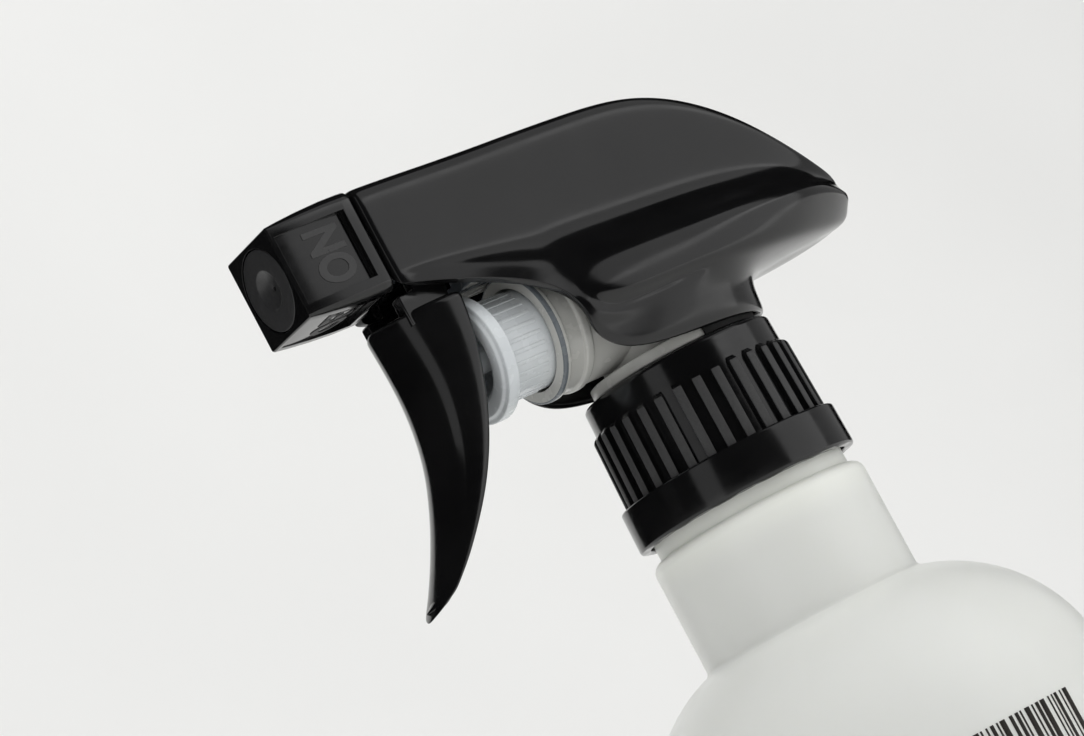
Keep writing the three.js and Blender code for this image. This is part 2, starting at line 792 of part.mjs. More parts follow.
// One half of the shroud's section at a place along it, from the underside's middle to the top's
function halfSection(x, inset) {
  const at = (key) => curveAt(shroudCurve(key), x);
  const low = at('low') + inset;
  const top = at('top') - inset;
  const flat = at('flat') - inset;
  const wide = at('wide') - inset;
  const [belly, crease] = [at('belly'), at('crease')];
  const rise = belly - low;
  const slope = crease - belly;
  const edge = Math.min(shroudEdge - inset * 0.6, (top - crease) / 2);
  const flare = wide - flat;
  return [
    [wide * 0.7, low],
    [wide * 0.88, low + rise * 0.1],
    [wide * 0.97, low + rise * 0.35],
    [wide, low + rise * 0.7],
    [wide - flare * 0.04, belly],
    [wide - flare * 0.25, belly + slope * 0.3],
    [flat + flare * 0.3, belly + slope * 0.65],
    [flat + flare * 0.06, crease],
    [flat, crease + slope * 0.25],
    [flat, top - edge],
    [flat - edge * 0.3, top - edge * 0.3],
    [flat - edge, top],
  ];
}

// The shroud's outer or inner surface, as a solid: a many-sided bar whose rings follow the sections
function shroudLoft(inset, from, to) {
  const size = 2 * halfSection(0, inset).length;
  const bar = new THREE.ExtrudeGeometry(outline(arc(0, 0, 1, 0, 360 * (1 - 1 / size), size - 1)), {
    depth: 1,
    steps: shroudSteps,
    bevelEnabled: false,
  });
  const position = bar.attributes.position;
  for (let i = 0; i < position.count; i += 1) {
    const x = THREE.MathUtils.lerp(from, to, position.getZ(i));
    const half = halfSection(x, inset);
    const section = [...half, ...half.map(([y, z]) => [-y, z]).reverse()];
    const turn = Math.atan2(position.getY(i), position.getX(i)) / (2 * Math.PI);
    const [y, z] = section[Math.round((turn + 1) * size) % size];
    position.setXYZ(i, x, y, z);
  }
  return asSolid(bar);
}

function skirt(inset) {
  const drop = inset > 0 ? 5 : 0;
  const reach = inset > 0 ? 12 : 0;
  const half = lobeHalfWidth - inset;
  const around = discZ(skirtRadius - inset, skirtBottom - drop, skirtTop, fine);
  const lobes = block(lobeFront - reach, 0, -half, half, skirtBottom - drop, skirtTop);
  return around.add(lobes);
}

// Everything below the lip in front of the pump, seen from the side
function lipCut() {
  const view = new THREE.Shape();
  view.moveTo(noseX - 10, noseBottom);
  view.lineTo(noseX, noseBottom);
  view.bezierCurveTo(-34, 46.4, -25.5, 42.3, -20.5, 38.4);
  view.bezierCurveTo(-17.8, 36.1, -16.7, 33.6, -17.5, 30.6);
  view.bezierCurveTo(-18, 27.6, -15.2, 24.2, lobeBack, skirtBottom);
  view.lineTo(lobeBack, skirtBottom - 12);
  view.lineTo(noseX - 10, skirtBottom - 12);
  return sidePlate(view, -30, 30, { curveSegments: 10 });
}

function shroud() {
  const mouth = discX(bushingRadius + slipGap, noseX - 5, noseX + noseRing + 1, barrelHeight);
  const outer = shroudLoft(0, noseX, tailX).add(skirt(0));
  const hollow = shroudLoft(shroudWall, noseX + noseRing, tailX - 2 * shroudWall).add(skirt(shroudWall));
  return piece('shroud', cutAll(outer, [hollow, lipCut(), mouth]), finish.blackGloss);
}

// ---- nozzle ------------------------------------------------------------------------------

function noseBushing() {
  const body = turnedX(ring([
    [barrelRadius + sealGap, -bushingBack],
    [bushingFlangeRadius, -bushingBack],
    [bushingFlangeRadius, -bushingBack - bushingFlange],
    [bushingRadius, -bushingBack - bushingFlange],
    [bushingRadius, -sealGrooveStart],
    [sealGroove, -sealGrooveStart],
    [sealGroove, -sealGrooveEnd],
    [bushingRadius, -sealGrooveEnd],
    [bushingRadius, -bushingFront],
    [swirlRadius + slipGap, -bushingFront],
    [swirlRadius + slipGap, -swirlPocketStart],
    [barrelBore, -swirlPocketStart],
    [barrelBore, -barrelReach - seatGap],
    [barrelRadius + sealGap, -barrelReach - seatGap],
  ]), barrelHeight);
  return piece('nose_bushing', body, finish.white);
}

function nozzleSeal() {
  const oRing = turnedX(ring([
    [sealGroove + sealGap, -sealGrooveStart - seatGap],
    [capBore - sealGap, -sealGrooveStart - seatGap - 0.4],
    [capBore - sealGap, -sealGrooveEnd + seatGap + 0.4],
    [sealGroove + sealGap, -sealGrooveEnd + seatGap],
  ]), barrelHeight);
  return piece('nozzle_seal', oRing, finish.blackMatt);
}

function swirlCore() {
  const front = capFloor - 0.4;
  const core = discX(swirlRadius, -front, -swirlPocketStart - seatGap, barrelHeight, small);
  const chamber = discX(1.2, -front - 1, -front + 0.7, barrelHeight, small);
  const slot = block(-front - 1, -swirlPocketStart, -swirlSlotWidth / 2, swirlSlotWidth / 2, 2.2, 6);
  const slots = Array.from({ length: swirlSlots }, (_, i) =>
    slot.rotate([(i * 360) / swirlSlots, 0, 0]).translate([0, 0, barrelHeight]));
  return piece('swirl_core', cutAll(core, [chamber, ...slots]), finish.white);
}

function capHalfAt(x) {
  const t = (capFront + x) / (capFront - capRear);
  return capFrontHalf + (capRearHalf - capFrontHalf) * t + capBulge * t * (1 - t);
}

function nozzleCap() {
  const flat = 1 - capCorner / capFrontHalf;
  const corner = (cx, cy, from) => arc(cx * flat, cy * flat, 1 - flat, from, from + 90, 3);
  const square = outline([
    ...corner(1, 1, 0),
    ...corner(-1, 1, 90),
    ...corner(-1, -1, 180),
    ...corner(1, -1, 270),
  ]);
  const length = capFront - capRear;
  const strip = new THREE.ExtrudeGeometry(square, { depth: length, steps: capSteps, bevelEnabled: false });
  const position = strip.attributes.position;
  for (let i = 0; i < position.count; i += 1) {
    const x = -capFront + position.getZ(i);
    const half = capHalfAt(x);
    position.setXYZ(i, x, position.getX(i) * half, barrelHeight + position.getY(i) * half);
  }
  const panel = block(
    -panelEnd,
    -panelStart,
    -panelHalf,
    panelHalf,
    capRearHalf - panelDepth,
    capRearHalf + 3,
  );
  const panels = [0, 90, 180, 270].map((turn) =>
    panel.rotate([turn, 0, 0]).translate([0, 0, barrelHeight]));
  const body = cutAll(asSolid(strip), [
    discX(capBore, -capFloor, -capRear + 1, barrelHeight),
    discX(discStubRadius + slipGap, -capFront - 1, -capFloor + 1, barrelHeight, small),
    discX(discRadius + sealGap, -capFront - 1, -discBack + seatGap, barrelHeight),
    ...panels,
  ]);
  return piece('nozzle_cap', body, finish.blackGloss);
}

function orificeDisc() {
  const face = -discBack - discThickness;
  const bottom = face + dimpleDepth;
  const disc = turnedX(ring([
    [orificeRadius, bottom + 0.5],
    [1.5, bottom + 0.7],
    [1.5, -capFloor - seatGap],
    [discStubRadius, -capFloor - seatGap],
    [discStubRadius, -discBack],
    [discRadius, -discBack],
    [discRadius, face],
    [dimpleRadius, face],
    [dimpleRadius * 0.75, face + dimpleDepth * 0.45],
    [dimpleRadius * 0.45, face + dimpleDepth * 0.8],
    [orificeRadius, bottom],
  ]), barrelHeight);
  return piece('orifice_disc', disc, finish.blackMatt);
}

// ---- assembly ----------------------------------------------------------------------------

const head = new THREE.Group();
head.position.z = collarBase;
head.add(
  closureCollar(),
  closureGasket(),
  tubeRetainer(),
  dipTube(),
  tubeStrainer(),
  inletBall(),
  pumpBody(),
  piston(),
  pistonSeal(),
  pistonSpring(),
  outletValve(),
  outletSpring(),
  outletPlug(),
  trigger(),
  shroud(),
  noseBushing(),
  nozzleSeal(),
  swirlCore(),
  nozzleCap(),
  orificeDisc(),
);

const sprayBottle = new THREE.Group();
sprayBottle.add(bottle(), head);

export default sprayBottle;
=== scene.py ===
# %% [markdown]
# # A trigger spray bottle, piece by piece
# The object is a milky half-litre bottle with a screwed-on trigger sprayer. The sprayer has a
# glossy black cover, a curved trigger, a square nozzle that turns, and a pale pump behind the
# trigger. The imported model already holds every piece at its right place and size, so each cell
# below builds one better-looking piece around it.

# %% Load the frame
import math

import bmesh
import bpy
from mathutils import Matrix, Vector


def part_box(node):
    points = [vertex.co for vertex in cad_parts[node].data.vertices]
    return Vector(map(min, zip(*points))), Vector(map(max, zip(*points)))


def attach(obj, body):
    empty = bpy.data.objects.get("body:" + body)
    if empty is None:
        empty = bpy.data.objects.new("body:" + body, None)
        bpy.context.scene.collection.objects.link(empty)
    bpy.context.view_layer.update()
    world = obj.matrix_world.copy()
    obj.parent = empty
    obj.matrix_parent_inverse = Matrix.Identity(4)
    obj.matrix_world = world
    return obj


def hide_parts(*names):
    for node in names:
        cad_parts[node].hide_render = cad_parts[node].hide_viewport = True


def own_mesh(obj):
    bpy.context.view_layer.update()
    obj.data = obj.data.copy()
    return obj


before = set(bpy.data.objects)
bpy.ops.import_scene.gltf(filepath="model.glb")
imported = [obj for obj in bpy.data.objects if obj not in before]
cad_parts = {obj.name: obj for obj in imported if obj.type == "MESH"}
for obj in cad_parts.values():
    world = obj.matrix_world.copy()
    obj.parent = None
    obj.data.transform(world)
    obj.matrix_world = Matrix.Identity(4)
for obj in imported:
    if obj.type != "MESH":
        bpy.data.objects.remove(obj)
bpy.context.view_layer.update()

# %% [markdown]
# ## Units and small helpers
# Pieces of the sprayer are drawn in millimetres from the lower edge of its collar, because those
# are the numbers a caliper gives. One transform at the end turns them into metres in the shared
# frame. Each helper below is a thin wrap round one bmesh operator.

# %% Helpers for meshes
MM = 0.001
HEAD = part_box("closure_collar")[0].z
X_AXIS = Vector((1, 0, 0))
Z_AXIS = Vector((0, 0, 1))


def place(bm, lift):
    """Millimetres from a base height become metres in the shared frame."""
    matrix = Matrix.Translation((0, 0, lift)) @ Matrix.Scale(MM, 4)
    bmesh.ops.transform(bm, matrix=matrix, verts=bm.verts)


def to_object(name, bm, materials, lift=HEAD, sharp=35):
    """Merge, point the faces outwards and make a smooth-shaded object."""
    bmesh.ops.remove_doubles(bm, verts=bm.verts, dist=1e-3)
    bmesh.ops.recalc_face_normals(bm, faces=bm.faces)
    place(bm, lift)
    mesh = bpy.data.meshes.new(name)
    bm.to_mesh(mesh)
    bm.free()
    mesh.shade_smooth()
    mesh.set_sharp_from_angle(angle=math.radians(sharp))
    piece = bpy.data.objects.new(name, mesh)
    bpy.context.scene.collection.objects.link(piece)
    for material in materials:
        mesh.materials.append(material)
    return piece


def finish(piece, body, replaced=()):
    """Say which body a piece rides on, and hide the CAD nodes it stands for."""
    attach(piece, body)
    if replaced:
        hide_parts(*replaced)
    print(piece.name, "rides on", body, "faces:", len(piece.data.polygons))
    return piece


print("the sprayer's heights start at", round(HEAD / MM, 2), "mm")

# %% [markdown]
# Modifiers finish what the mesh only sketches: Bevel rounds edges, Subdivision Surface smooths a
# coarse sheet, and Boolean joins and cuts solids. They could stay live on every piece. A boolean
# is applied at once here, because the pieces that it needs are removed again.

# %% Helpers for modifiers
def soften(piece, width, segments=3, angle=30):
    """Round the sharp edges of a piece and keep its flat faces flat."""
    bevel = piece.modifiers.new("rounded edges", "BEVEL")
    bevel.width = width * MM
    bevel.segments = segments
    bevel.limit_method = "ANGLE"
    bevel.angle_limit = math.radians(angle)
    bevel.harden_normals = True
    return piece


def subdivide(piece, levels):
    """Smooth a piece by the same number of levels in the viewport and in a render."""
    smooth = piece.modifiers.new("smooth surface", "SUBSURF")
    smooth.levels = levels
    smooth.render_levels = levels
    return piece


def bake_shape(piece, sharp=35):
    """Apply a piece's modifiers to its mesh."""
    graph = bpy.context.evaluated_depsgraph_get()
    mesh = bpy.data.meshes.new_from_object(piece.evaluated_get(graph), depsgraph=graph)
    piece.modifiers.clear()
    piece.data = mesh
    mesh.shade_smooth()
    mesh.set_sharp_from_angle(angle=math.radians(sharp))
    return piece


def combine(piece, others, operation):
    """Join other solids to a piece, or cut them out of it, and remove them."""
    for other in others:
        step = piece.modifiers.new("combine", "BOOLEAN")
        step.operation = operation
        step.solver = "EXACT"
        step.object = other
    bake_shape(piece)
    for other in others:
        bpy.data.objects.remove(other)
    return piece


print("modifier helpers: soften, subdivide, bake_shape, combine")

# %% [markdown]
# ## Turned shapes
# A bottle, a collar or a piston is a profile spun about an axis. The profile is a wire of a few
# corners. A corner with a third number is rounded with a vertex bevel first, which gives the
# small radius that a mould leaves, and then one full spin with use_merge closes the shape.

# %% Turned shapes
def wire(bm, corners, axis, centre, closed):
    """A profile of (radius, distance along the axis) with an optional corner radius."""
    out = X_AXIS if axis is Z_AXIS else Z_AXIS
    points = [bm.verts.new(centre + out * c[0] + axis * c[1]) for c in corners]
    for pair in zip(points, points[1:]):
        bm.edges.new(pair)
    if closed:
        bm.edges.new((points[-1], points[0]))
    for point, corner in zip(points, corners):
        if len(corner) == 3:
            bmesh.ops.bevel(
                bm,
                geom=[point],
                offset=corner[2],
                segments=4,
                profile=0.5,
                affect="VERTICES",
                material=-1,
            )


def turned(corners, axis=Z_AXIS, height=0.0, steps=96, closed=False):
    """Spin a profile a full turn about the axis, which passes through the given height."""
    bm = bmesh.new()
    centre = Vector((0, 0, height))
    wire(bm, corners, axis, centre, closed)
    bmesh.ops.spin(
        bm,
        geom=bm.verts[:] + bm.edges[:],
        cent=centre,
        axis=axis,
        angle=2 * math.pi,
        steps=steps,
        use_merge=True,
    )
    bmesh.ops.remove_doubles(bm, verts=bm.verts, dist=1e-3)
    return bm


def arc(cx, cy, radius, start, end, steps):
    """Points of a profile along part of a circle, angles in degrees."""
    angles = [math.radians(start + (end - start) * i / steps) for i in range(steps + 1)]
    return [(cx + radius * math.cos(a), cy + radius * math.sin(a)) for a in angles]


sample = turned([(0, 0), (1, 0, 0.2), (1, 1), (0, 1)], steps=8)
print("a small turned sample has", len(sample.faces), "faces")
sample.free()

# %% [markdown]
# ## Blocks and plates
# What isn't turned is mostly a box or a flat plate: webs, ribs, arms and the bar of the trigger.
# A box is a scaled cube. A plate is a side view drawn as one face and extruded across. A piece
# made of many such solids is gathered into one mesh at the end.

# %% Blocks and plates
def block(x0, x1, y0, y1, z0, z1, bevel=0.0):
    """A box between two corners, with rounded edges if a bevel is given."""
    bm = bmesh.new()
    bmesh.ops.create_cube(bm, size=1)
    bmesh.ops.scale(bm, vec=(x1 - x0, y1 - y0, z1 - z0), verts=bm.verts)
    bmesh.ops.translate(
        bm, vec=((x0 + x1) / 2, (y0 + y1) / 2, (z0 + z1) / 2), verts=bm.verts
    )
    if bevel:
        round_edges(bm, bm.edges[:], bevel)
    return bm


def round_edges(bm, edges, width, segments=3):
    """Bevel some edges to a small radius."""
    bmesh.ops.bevel(
        bm,
        geom=edges,
        offset=width,
        segments=segments,
        profile=0.5,
        affect="EDGES",
        material=-1,
    )


def plate(outline, y0, y1, bevel=0.0):
    """A side view of (x, z, optional corner radius), given thickness between two faces."""
    bm = bmesh.new()
    corners = [bm.verts.new((c[0], y0, c[1])) for c in outline]
    bm.faces.new(corners)
    for point, corner in zip(corners, outline):
        if len(corner) == 3:
            bmesh.ops.bevel(
                bm,
                geom=[point],
                offset=corner[2],
                segments=6,
                profile=0.5,
                affect="VERTICES",
                material=-1,
            )
    side = bmesh.ops.extrude_face_region(bm, geom=bm.faces[:])
    moved = [v for v in side["geom"] if isinstance(v, bmesh.types.BMVert)]
    bmesh.ops.translate(bm, vec=(0, y1 - y0, 0), verts=moved)
    if bevel:
        flat = [e for e in bm.edges if abs(e.verts[0].co.y - e.verts[1].co.y) < 1e-6]
        round_edges(bm, flat, bevel)
    return bm


def merged(*parts):
    """Several meshes in one."""
    whole = bmesh.new()
    for part in parts:
        spare = bpy.data.meshes.new("spare")
        part.to_mesh(spare)
        part.free()
        whole.from_mesh(spare)
        bpy.data.meshes.remove(spare)
    return whole


sample = merged(block(0, 1, 0, 1, 0, 1), plate([(0, 0), (1, 0), (1, 1, 0.2)], 0, 1))
print("a block and a plate together have", len(sample.faces), "faces")
sample.free()

# %% [markdown]
# ## Finishes
# Moulded plastic is never one flat value. Each finish starts from a Principled shader, and noise
# moves its roughness and its bump a little, at the size the real surface shows: a slow ripple
# from cooling, and a fine grain from the mould. Object coordinates keep the pattern fixed to
# the piece.

# %% Node helpers
def shader(name, colour, roughness, **sockets):
    """A Principled material, with sockets named by keyword."""
    material = bpy.data.materials.new(name)
    material.use_nodes = True
    principled = material.node_tree.nodes["Principled BSDF"]
    principled.inputs["Base Color"].default_value = (*colour, 1)
    principled.inputs["Roughness"].default_value = roughness
    for key, value in sockets.items():
        principled.inputs[key.replace("_", " ")].default_value = value
    return material


def noise(material, scale, detail=2.0, stretch=(1, 1, 1)):
    """A noise in Object coordinates; scale is in cycles per metre."""
    nodes, links = material.node_tree.nodes, material.node_tree.links
    place_node = nodes.new("ShaderNodeTexCoord")
    mapping = nodes.new("ShaderNodeMapping")
    mapping.inputs["Scale"].default_value = stretch
    pattern = nodes.new("ShaderNodeTexNoise")
    pattern.inputs["Scale"].default_value = scale
    pattern.inputs["Detail"].default_value = detail
    links.new(place_node.outputs["Object"], mapping.inputs["Vector"])
    links.new(mapping.outputs["Vector"], pattern.inputs["Vector"])
    return pattern.outputs["Fac"]


def vary(material, source, socket, low, high):
    """Let a pattern move one number of the shader between two values."""
    nodes, links = material.node_tree.nodes, material.node_tree.links
    ramp = nodes.new("ShaderNodeMapRange")
    ramp.inputs["From Min"].default_value = 0.3
    ramp.inputs["From Max"].default_value = 0.7
    ramp.inputs["To Min"].default_value = low
    ramp.inputs["To Max"].default_value = high
    links.new(source, ramp.inputs["Value"])
    links.new(ramp.outputs["Result"], nodes["Principled BSDF"].inputs[socket])


def tint(material, source, dark, light):
    """Let a pattern move the colour between two close shades."""
    nodes, links = material.node_tree.nodes, material.node_tree.links
    ramp = nodes.new("ShaderNodeValToRGB")
    ramp.color_ramp.elements[0].position = 0.35
    ramp.color_ramp.elements[1].position = 0.65
    ramp.color_ramp.elements[0].color = (*dark, 1)
    ramp.color_ramp.elements[1].color = (*light, 1)
    links.new(source, ramp.inputs["Fac"])
    links.new(ramp.outputs["Color"], nodes["Principled BSDF"].inputs["Base Color"])


def bump(material, layers):
    """Add (pattern, strength, height in metres) layers of bump, one on another."""
    nodes, links = material.node_tree.nodes, material.node_tree.links
    last = None
    for source, strength, height in layers:
        node = nodes.new("ShaderNodeBump")
        node.inputs["Strength"].default_value = strength
        node.inputs["Distance"].default_value = height
        links.new(source, node.inputs["Height"])
        if last:
            links.new(last, node.inputs["Normal"])
        last = node.outputs["Normal"]
    links.new(last, nodes["Principled BSDF"].inputs["Normal"])


print("finish helpers: shader, noise, vary, tint, bump")

# %% [markdown]
# The black parts are polished in the mould, so their roughness is low and only a slow ripple and
# a few fine handling marks break the reflection. The ribs of the collar and the nozzle's disc
# come from a spark-eroded part of the mould, which leaves an even grain.

# %% Black finishes
gloss_black = shader("gloss_black", (0.0045, 0.0045, 0.0048), 0.14, IOR=1.5)
tint(gloss_black, noise(gloss_black, 90, 3), (0.0035, 0.0035, 0.0038), (0.0055, 0.0055, 0.0058))
vary(gloss_black, noise(gloss_black, 260, 4, (1, 1, 3)), "Roughness", 0.11, 0.18)
bump(
    gloss_black,
    [(noise(gloss_black, 60), 0.10, 0.0004), (noise(gloss_black, 5200, 1), 0.03, 0.00002)],
)

grain_black = shader("grain_black", (0.026, 0.026, 0.027), 0.5, IOR=1.48)
tint(grain_black, noise(grain_black, 9000, 2), (0.024, 0.024, 0.025), (0.046, 0.046, 0.047))
vary(grain_black, noise(grain_black, 7000, 2), "Roughness", 0.40, 0.62)
bump(grain_black, [(noise(grain_black, 11000, 2), 0.7, 0.00006)])

satin_black = shader("satin_black", (0.02, 0.02, 0.021), 0.36, IOR=1.5)
tint(satin_black, noise(satin_black, 3000, 2), (0.018, 0.018, 0.019), (0.024, 0.024, 0.025))
vary(satin_black, noise(satin_black, 900, 3), "Roughness", 0.30, 0.42)
bump(satin_black, [(noise(satin_black, 14000, 1), 0.25, 0.00002)])

# This black is darker and duller than any black plastic here: painted shade, for the inside of the
# cover's skirt.
painted_shade_black = shader("painted_shade_black", (0.005, 0.005, 0.005), 0.55, IOR=1.25)
tint(painted_shade_black, noise(painted_shade_black, 3000, 2), (0.004, 0.004, 0.004), (0.007, 0.007, 0.007))
bump(painted_shade_black, [(noise(painted_shade_black, 9000, 1), 0.3, 0.00003)])

letter_black = shader("letter_black", (0.05, 0.05, 0.051), 0.6, IOR=1.35)
tint(letter_black, noise(letter_black, 9000, 2), (0.045, 0.045, 0.046), (0.056, 0.056, 0.057))
bump(letter_black, [(noise(letter_black, 12000, 1), 0.3, 0.00003)])
print("black finishes:", [m.name for m in bpy.data.materials if m.name.endswith("_black")])

# %% [markdown]
# The bottle is blown polyethylene: light goes a little way in, so subsurface scattering carries
# the soft milky look, and a broad faint mottling follows the uneven wall. Transmission could do
# it too, but it needs many more samples before it looks clean.

# %% Milky finish
milky = shader("milky_bottle", (0.79, 0.805, 0.75), 0.34, IOR=1.5)
milky_sockets = milky.node_tree.nodes["Principled BSDF"].inputs
milky_sockets["Subsurface Weight"].default_value = 0.5
milky_sockets["Subsurface Radius"].default_value = (1.0, 1.0, 0.9)
milky_sockets["Subsurface Scale"].default_value = 0.006
tint(milky, noise(milky, 38, 3, (1, 1, 0.4)), (0.775, 0.79, 0.735), (0.805, 0.82, 0.77))
vary(milky, noise(milky, 420, 3), "Roughness", 0.29, 0.40)
bump(milky, [(noise(milky, 45, 2), 0.12, 0.0006), (noise(milky, 4200, 2), 0.08, 0.00004)])
print("milky finish:", milky.name)

# %% [markdown]
# The pump, piston and tube are natural polypropylene, glossier than the bottle. Only the tube
# lets light right through. The others scatter a little of it, which keeps their edges crisp.

# %% Natural plastics
def pale_plastic(name, dark, light, inside, roughness):
    """Natural plastic: a share of its light scatters inside before it comes out."""
    material = shader(name, light, roughness, IOR=1.49)
    principled = material.node_tree.nodes["Principled BSDF"]
    principled.inputs["Subsurface Weight"].default_value = inside
    principled.inputs["Subsurface Radius"].default_value = (1, 1, 1)
    principled.inputs["Subsurface Scale"].default_value = 0.0015
    tint(material, noise(material, 120, 2), dark, light)
    vary(material, noise(material, 500, 2), "Roughness", roughness - 0.04, roughness + 0.05)
    bump(material, [(noise(material, 110, 1), 0.08, 0.0003)])
    return material


pump_plastic = pale_plastic("pump_plastic", (0.41, 0.41, 0.395), (0.46, 0.46, 0.44), 0.1, 0.24)
# The mouth's finish is the pump plastic made dark blue-grey: painted shade for the shadow in the
# cylinder's mouth, not a colour of its own.
mouth_plastic = pale_plastic("mouth_plastic", (0.115, 0.13, 0.145), (0.12, 0.135, 0.15), 0.1, 0.26)
piston_plastic = pale_plastic("piston_plastic", (0.59, 0.62, 0.645), (0.64, 0.67, 0.69), 0.1, 0.26)
tube_plastic = pale_plastic("tube_plastic", (0.72, 0.74, 0.71), (0.78, 0.80, 0.77), 0.0, 0.3)
tube_plastic.node_tree.nodes["Principled BSDF"].inputs["Transmission Weight"].default_value = 0.5
white_plastic = pale_plastic("white_plastic", (0.80, 0.80, 0.78), (0.86, 0.86, 0.84), 0.1, 0.35)
print("natural plastics:", [m.name for m in bpy.data.materials if m.name.endswith("_plastic")])

# %% [markdown]
# Four small finishes are left: the foamed liner under the retainer, grey seal rubber, steel with
# fine drawing lines, and printing ink, which is black but never quite even.

# %% Foam, rubber, steel and ink
liner_foam = shader("liner_foam", (0.80, 0.80, 0.77), 0.75)
tint(liner_foam, noise(liner_foam, 2600, 3), (0.74, 0.74, 0.70), (0.84, 0.84, 0.81))
bump(liner_foam, [(noise(liner_foam, 5200, 2), 0.5, 0.0001)])

seal_rubber = shader("seal_rubber", (0.07, 0.08, 0.09), 0.42)
tint(seal_rubber, noise(seal_rubber, 1400, 2), (0.055, 0.065, 0.075), (0.085, 0.095, 0.105))
vary(seal_rubber, noise(seal_rubber, 2100, 2), "Roughness", 0.34, 0.5)
bump(seal_rubber, [(noise(seal_rubber, 6000, 2), 0.2, 0.00003)])

steel = shader("drawn_steel", (0.62, 0.62, 0.64), 0.24, Metallic=1.0)
vary(steel, noise(steel, 3000, 3, (1, 1, 6)), "Roughness", 0.16, 0.34)
bump(steel, [(noise(steel, 9000, 2, (1, 1, 8)), 0.15, 0.00002)])

print_ink = shader("print_ink", (0.022, 0.019, 0.016), 0.45)
tint(print_ink, noise(print_ink, 5200, 2), (0.016, 0.014, 0.012), (0.034, 0.030, 0.026))
vary(print_ink, noise(print_ink, 2400, 2), "Roughness", 0.38, 0.55)
print("finishes in all:", len(bpy.data.materials))

# %% [markdown]
# ## Camera
# The camera comes early, because every later choice is judged through it. It stands left of the
# bottle, a little below the sprayer, and is rolled so that the bottle leans to one side and runs
# out of the frame. Its place could be three plain coordinates. Angles round the sprayer and a
# distance are easier to read and to change, so the script works the coordinates out.

# %% Camera
AZIMUTH, ELEVATION, ROLL = math.radians(32.73), math.radians(-7.6), math.radians(-28.15)
DISTANCE = 0.6032
AIM = Vector((-0.02993, 0.01919))  # where the frame's middle sits, right of and above the collar
SENSOR_WIDTH, FOCAL_LENGTH, FAR_CLIP = 36, 138.13, 20

back = Vector(
    (
        -math.sin(AZIMUTH) * math.cos(ELEVATION),
        -math.cos(AZIMUTH) * math.cos(ELEVATION),
        math.sin(ELEVATION),
    )
)
right = Z_AXIS.cross(back).normalized()
upward = back.cross(right)
side = math.cos(ROLL) * right + math.sin(ROLL) * upward
top = -math.sin(ROLL) * right + math.cos(ROLL) * upward
camera = bpy.data.objects.new("camera", bpy.data.cameras.new("camera"))
camera.data.sensor_width = SENSOR_WIDTH
camera.data.lens = FOCAL_LENGTH
camera.data.clip_end = FAR_CLIP
camera.matrix_world = Matrix.Translation(
    Vector((0, 0, HEAD)) + AIM.x * side + AIM.y * top + DISTANCE * back
) @ Matrix((side, top, back)).transposed().to_4x4()
bpy.context.scene.collection.objects.link(camera)
bpy.context.scene.camera = camera
print("camera at", [round(c, 3) for c in camera.matrix_world.translation])

# %% [markdown]
# ## Bottle
# The bottle is blown, so its wall has one even thickness and every corner is round. The outside
# and the inside are one closed profile, because light passes through the wall. The screw thread
# on the neck is a small section spun with a rise per step, which makes a helix.

# %% Bottle
bottle_profile = [
    (0, 0), (8, 0, 0.4), (9, 1, 0.4), (25, 1, 0.4), (26, 0, 0.4), (35, 0, 5),
    *arc(10.6, 125.6, 24.4, 0, 72, 18),
    (17.1, 149.1, 0.7), (17.1, 166.9, 1.7), (15.3, 166.9, 0.2), (15.3, 171.65, 0.4),
    (12.7, 171.65, 0.2), (12.7, 186.4, 0.4), (10.8, 186.4, 0.4), (10.8, 166.9, 0.8),
    (15.9, 162.9, 1.2),
    *arc(10.6, 125.6, 23.2, 76, 0, 16),
    (33.8, 2.2, 3.5), (0, 2.2),
]
bottle_mesh = turned(bottle_profile, steps=128)
tooth = bmesh.new()
TOOTH = ((12.4, 176.1), (12.4, 177.7), (13.5, 177.25), (13.5, 176.55))
corners = [tooth.verts.new((r, 0, z)) for r, z in TOOTH]
tooth.faces.new(corners)
TURNS, PITCH, THREAD_STEPS = 1.5, 4.23, 72
bmesh.ops.spin(
    tooth,
    geom=tooth.verts[:] + tooth.edges[:] + tooth.faces[:],
    cent=(0, 0, 0),
    axis=Z_AXIS,
    dvec=(0, 0, TURNS * PITCH / THREAD_STEPS),
    angle=2 * math.pi * TURNS,
    steps=THREAD_STEPS,
    use_merge=False,
)
bottle = to_object("bottle_shell", merged(bottle_mesh, tooth), [milky], lift=0)
finish(bottle, "bottle", ["bottle"])

# %% [markdown]
# The side of the bottle carries a printed block of plain upright bars. Each bar is a short edge
# spun through its own small angle just above the wall, so it wraps the bottle like ink does.

# %% Printed bars
INK_RADIUS = 35.03
BAR_TOP, BAR_BOTTOM = 123.7, 97.0
BAR_WIDTHS = (0.9, 0.3, 0.6, 0.3, 0.3, 0.9, 0.6, 0.3, 0.9, 0.3, 0.6, 0.6)
BAR_GAPS = (0.45, 0.6, 0.3, 0.45, 0.75, 0.3, 0.45)
BAR_COUNT = 28
INK_THICKNESS = 0.03
bars = bmesh.new()
place_along = -8.6  # millimetres round the wall from the bars' first edge to the -Y line
for index in range(BAR_COUNT):
    width = BAR_WIDTHS[index % len(BAR_WIDTHS)]
    start = math.radians(-90) - place_along / INK_RADIUS
    ends = [
        bars.verts.new((INK_RADIUS * math.cos(start), INK_RADIUS * math.sin(start), z))
        for z in (BAR_BOTTOM, BAR_TOP)
    ]
    edge = bars.edges.new(ends)
    bmesh.ops.spin(
        bars,
        geom=[*ends, edge],
        cent=(0, 0, 0),
        axis=Z_AXIS,
        angle=-width / INK_RADIUS,
        steps=2,
        use_merge=False,
    )
    place_along += width + BAR_GAPS[index % len(BAR_GAPS)]
print_bars = to_object("printed_bars", bars, [print_ink], lift=0)
ink_layer = print_bars.modifiers.new("ink thickness", "SOLIDIFY")
ink_layer.thickness = INK_THICKNESS * MM
ink_layer.offset = -1
finish(print_bars, "bottle")

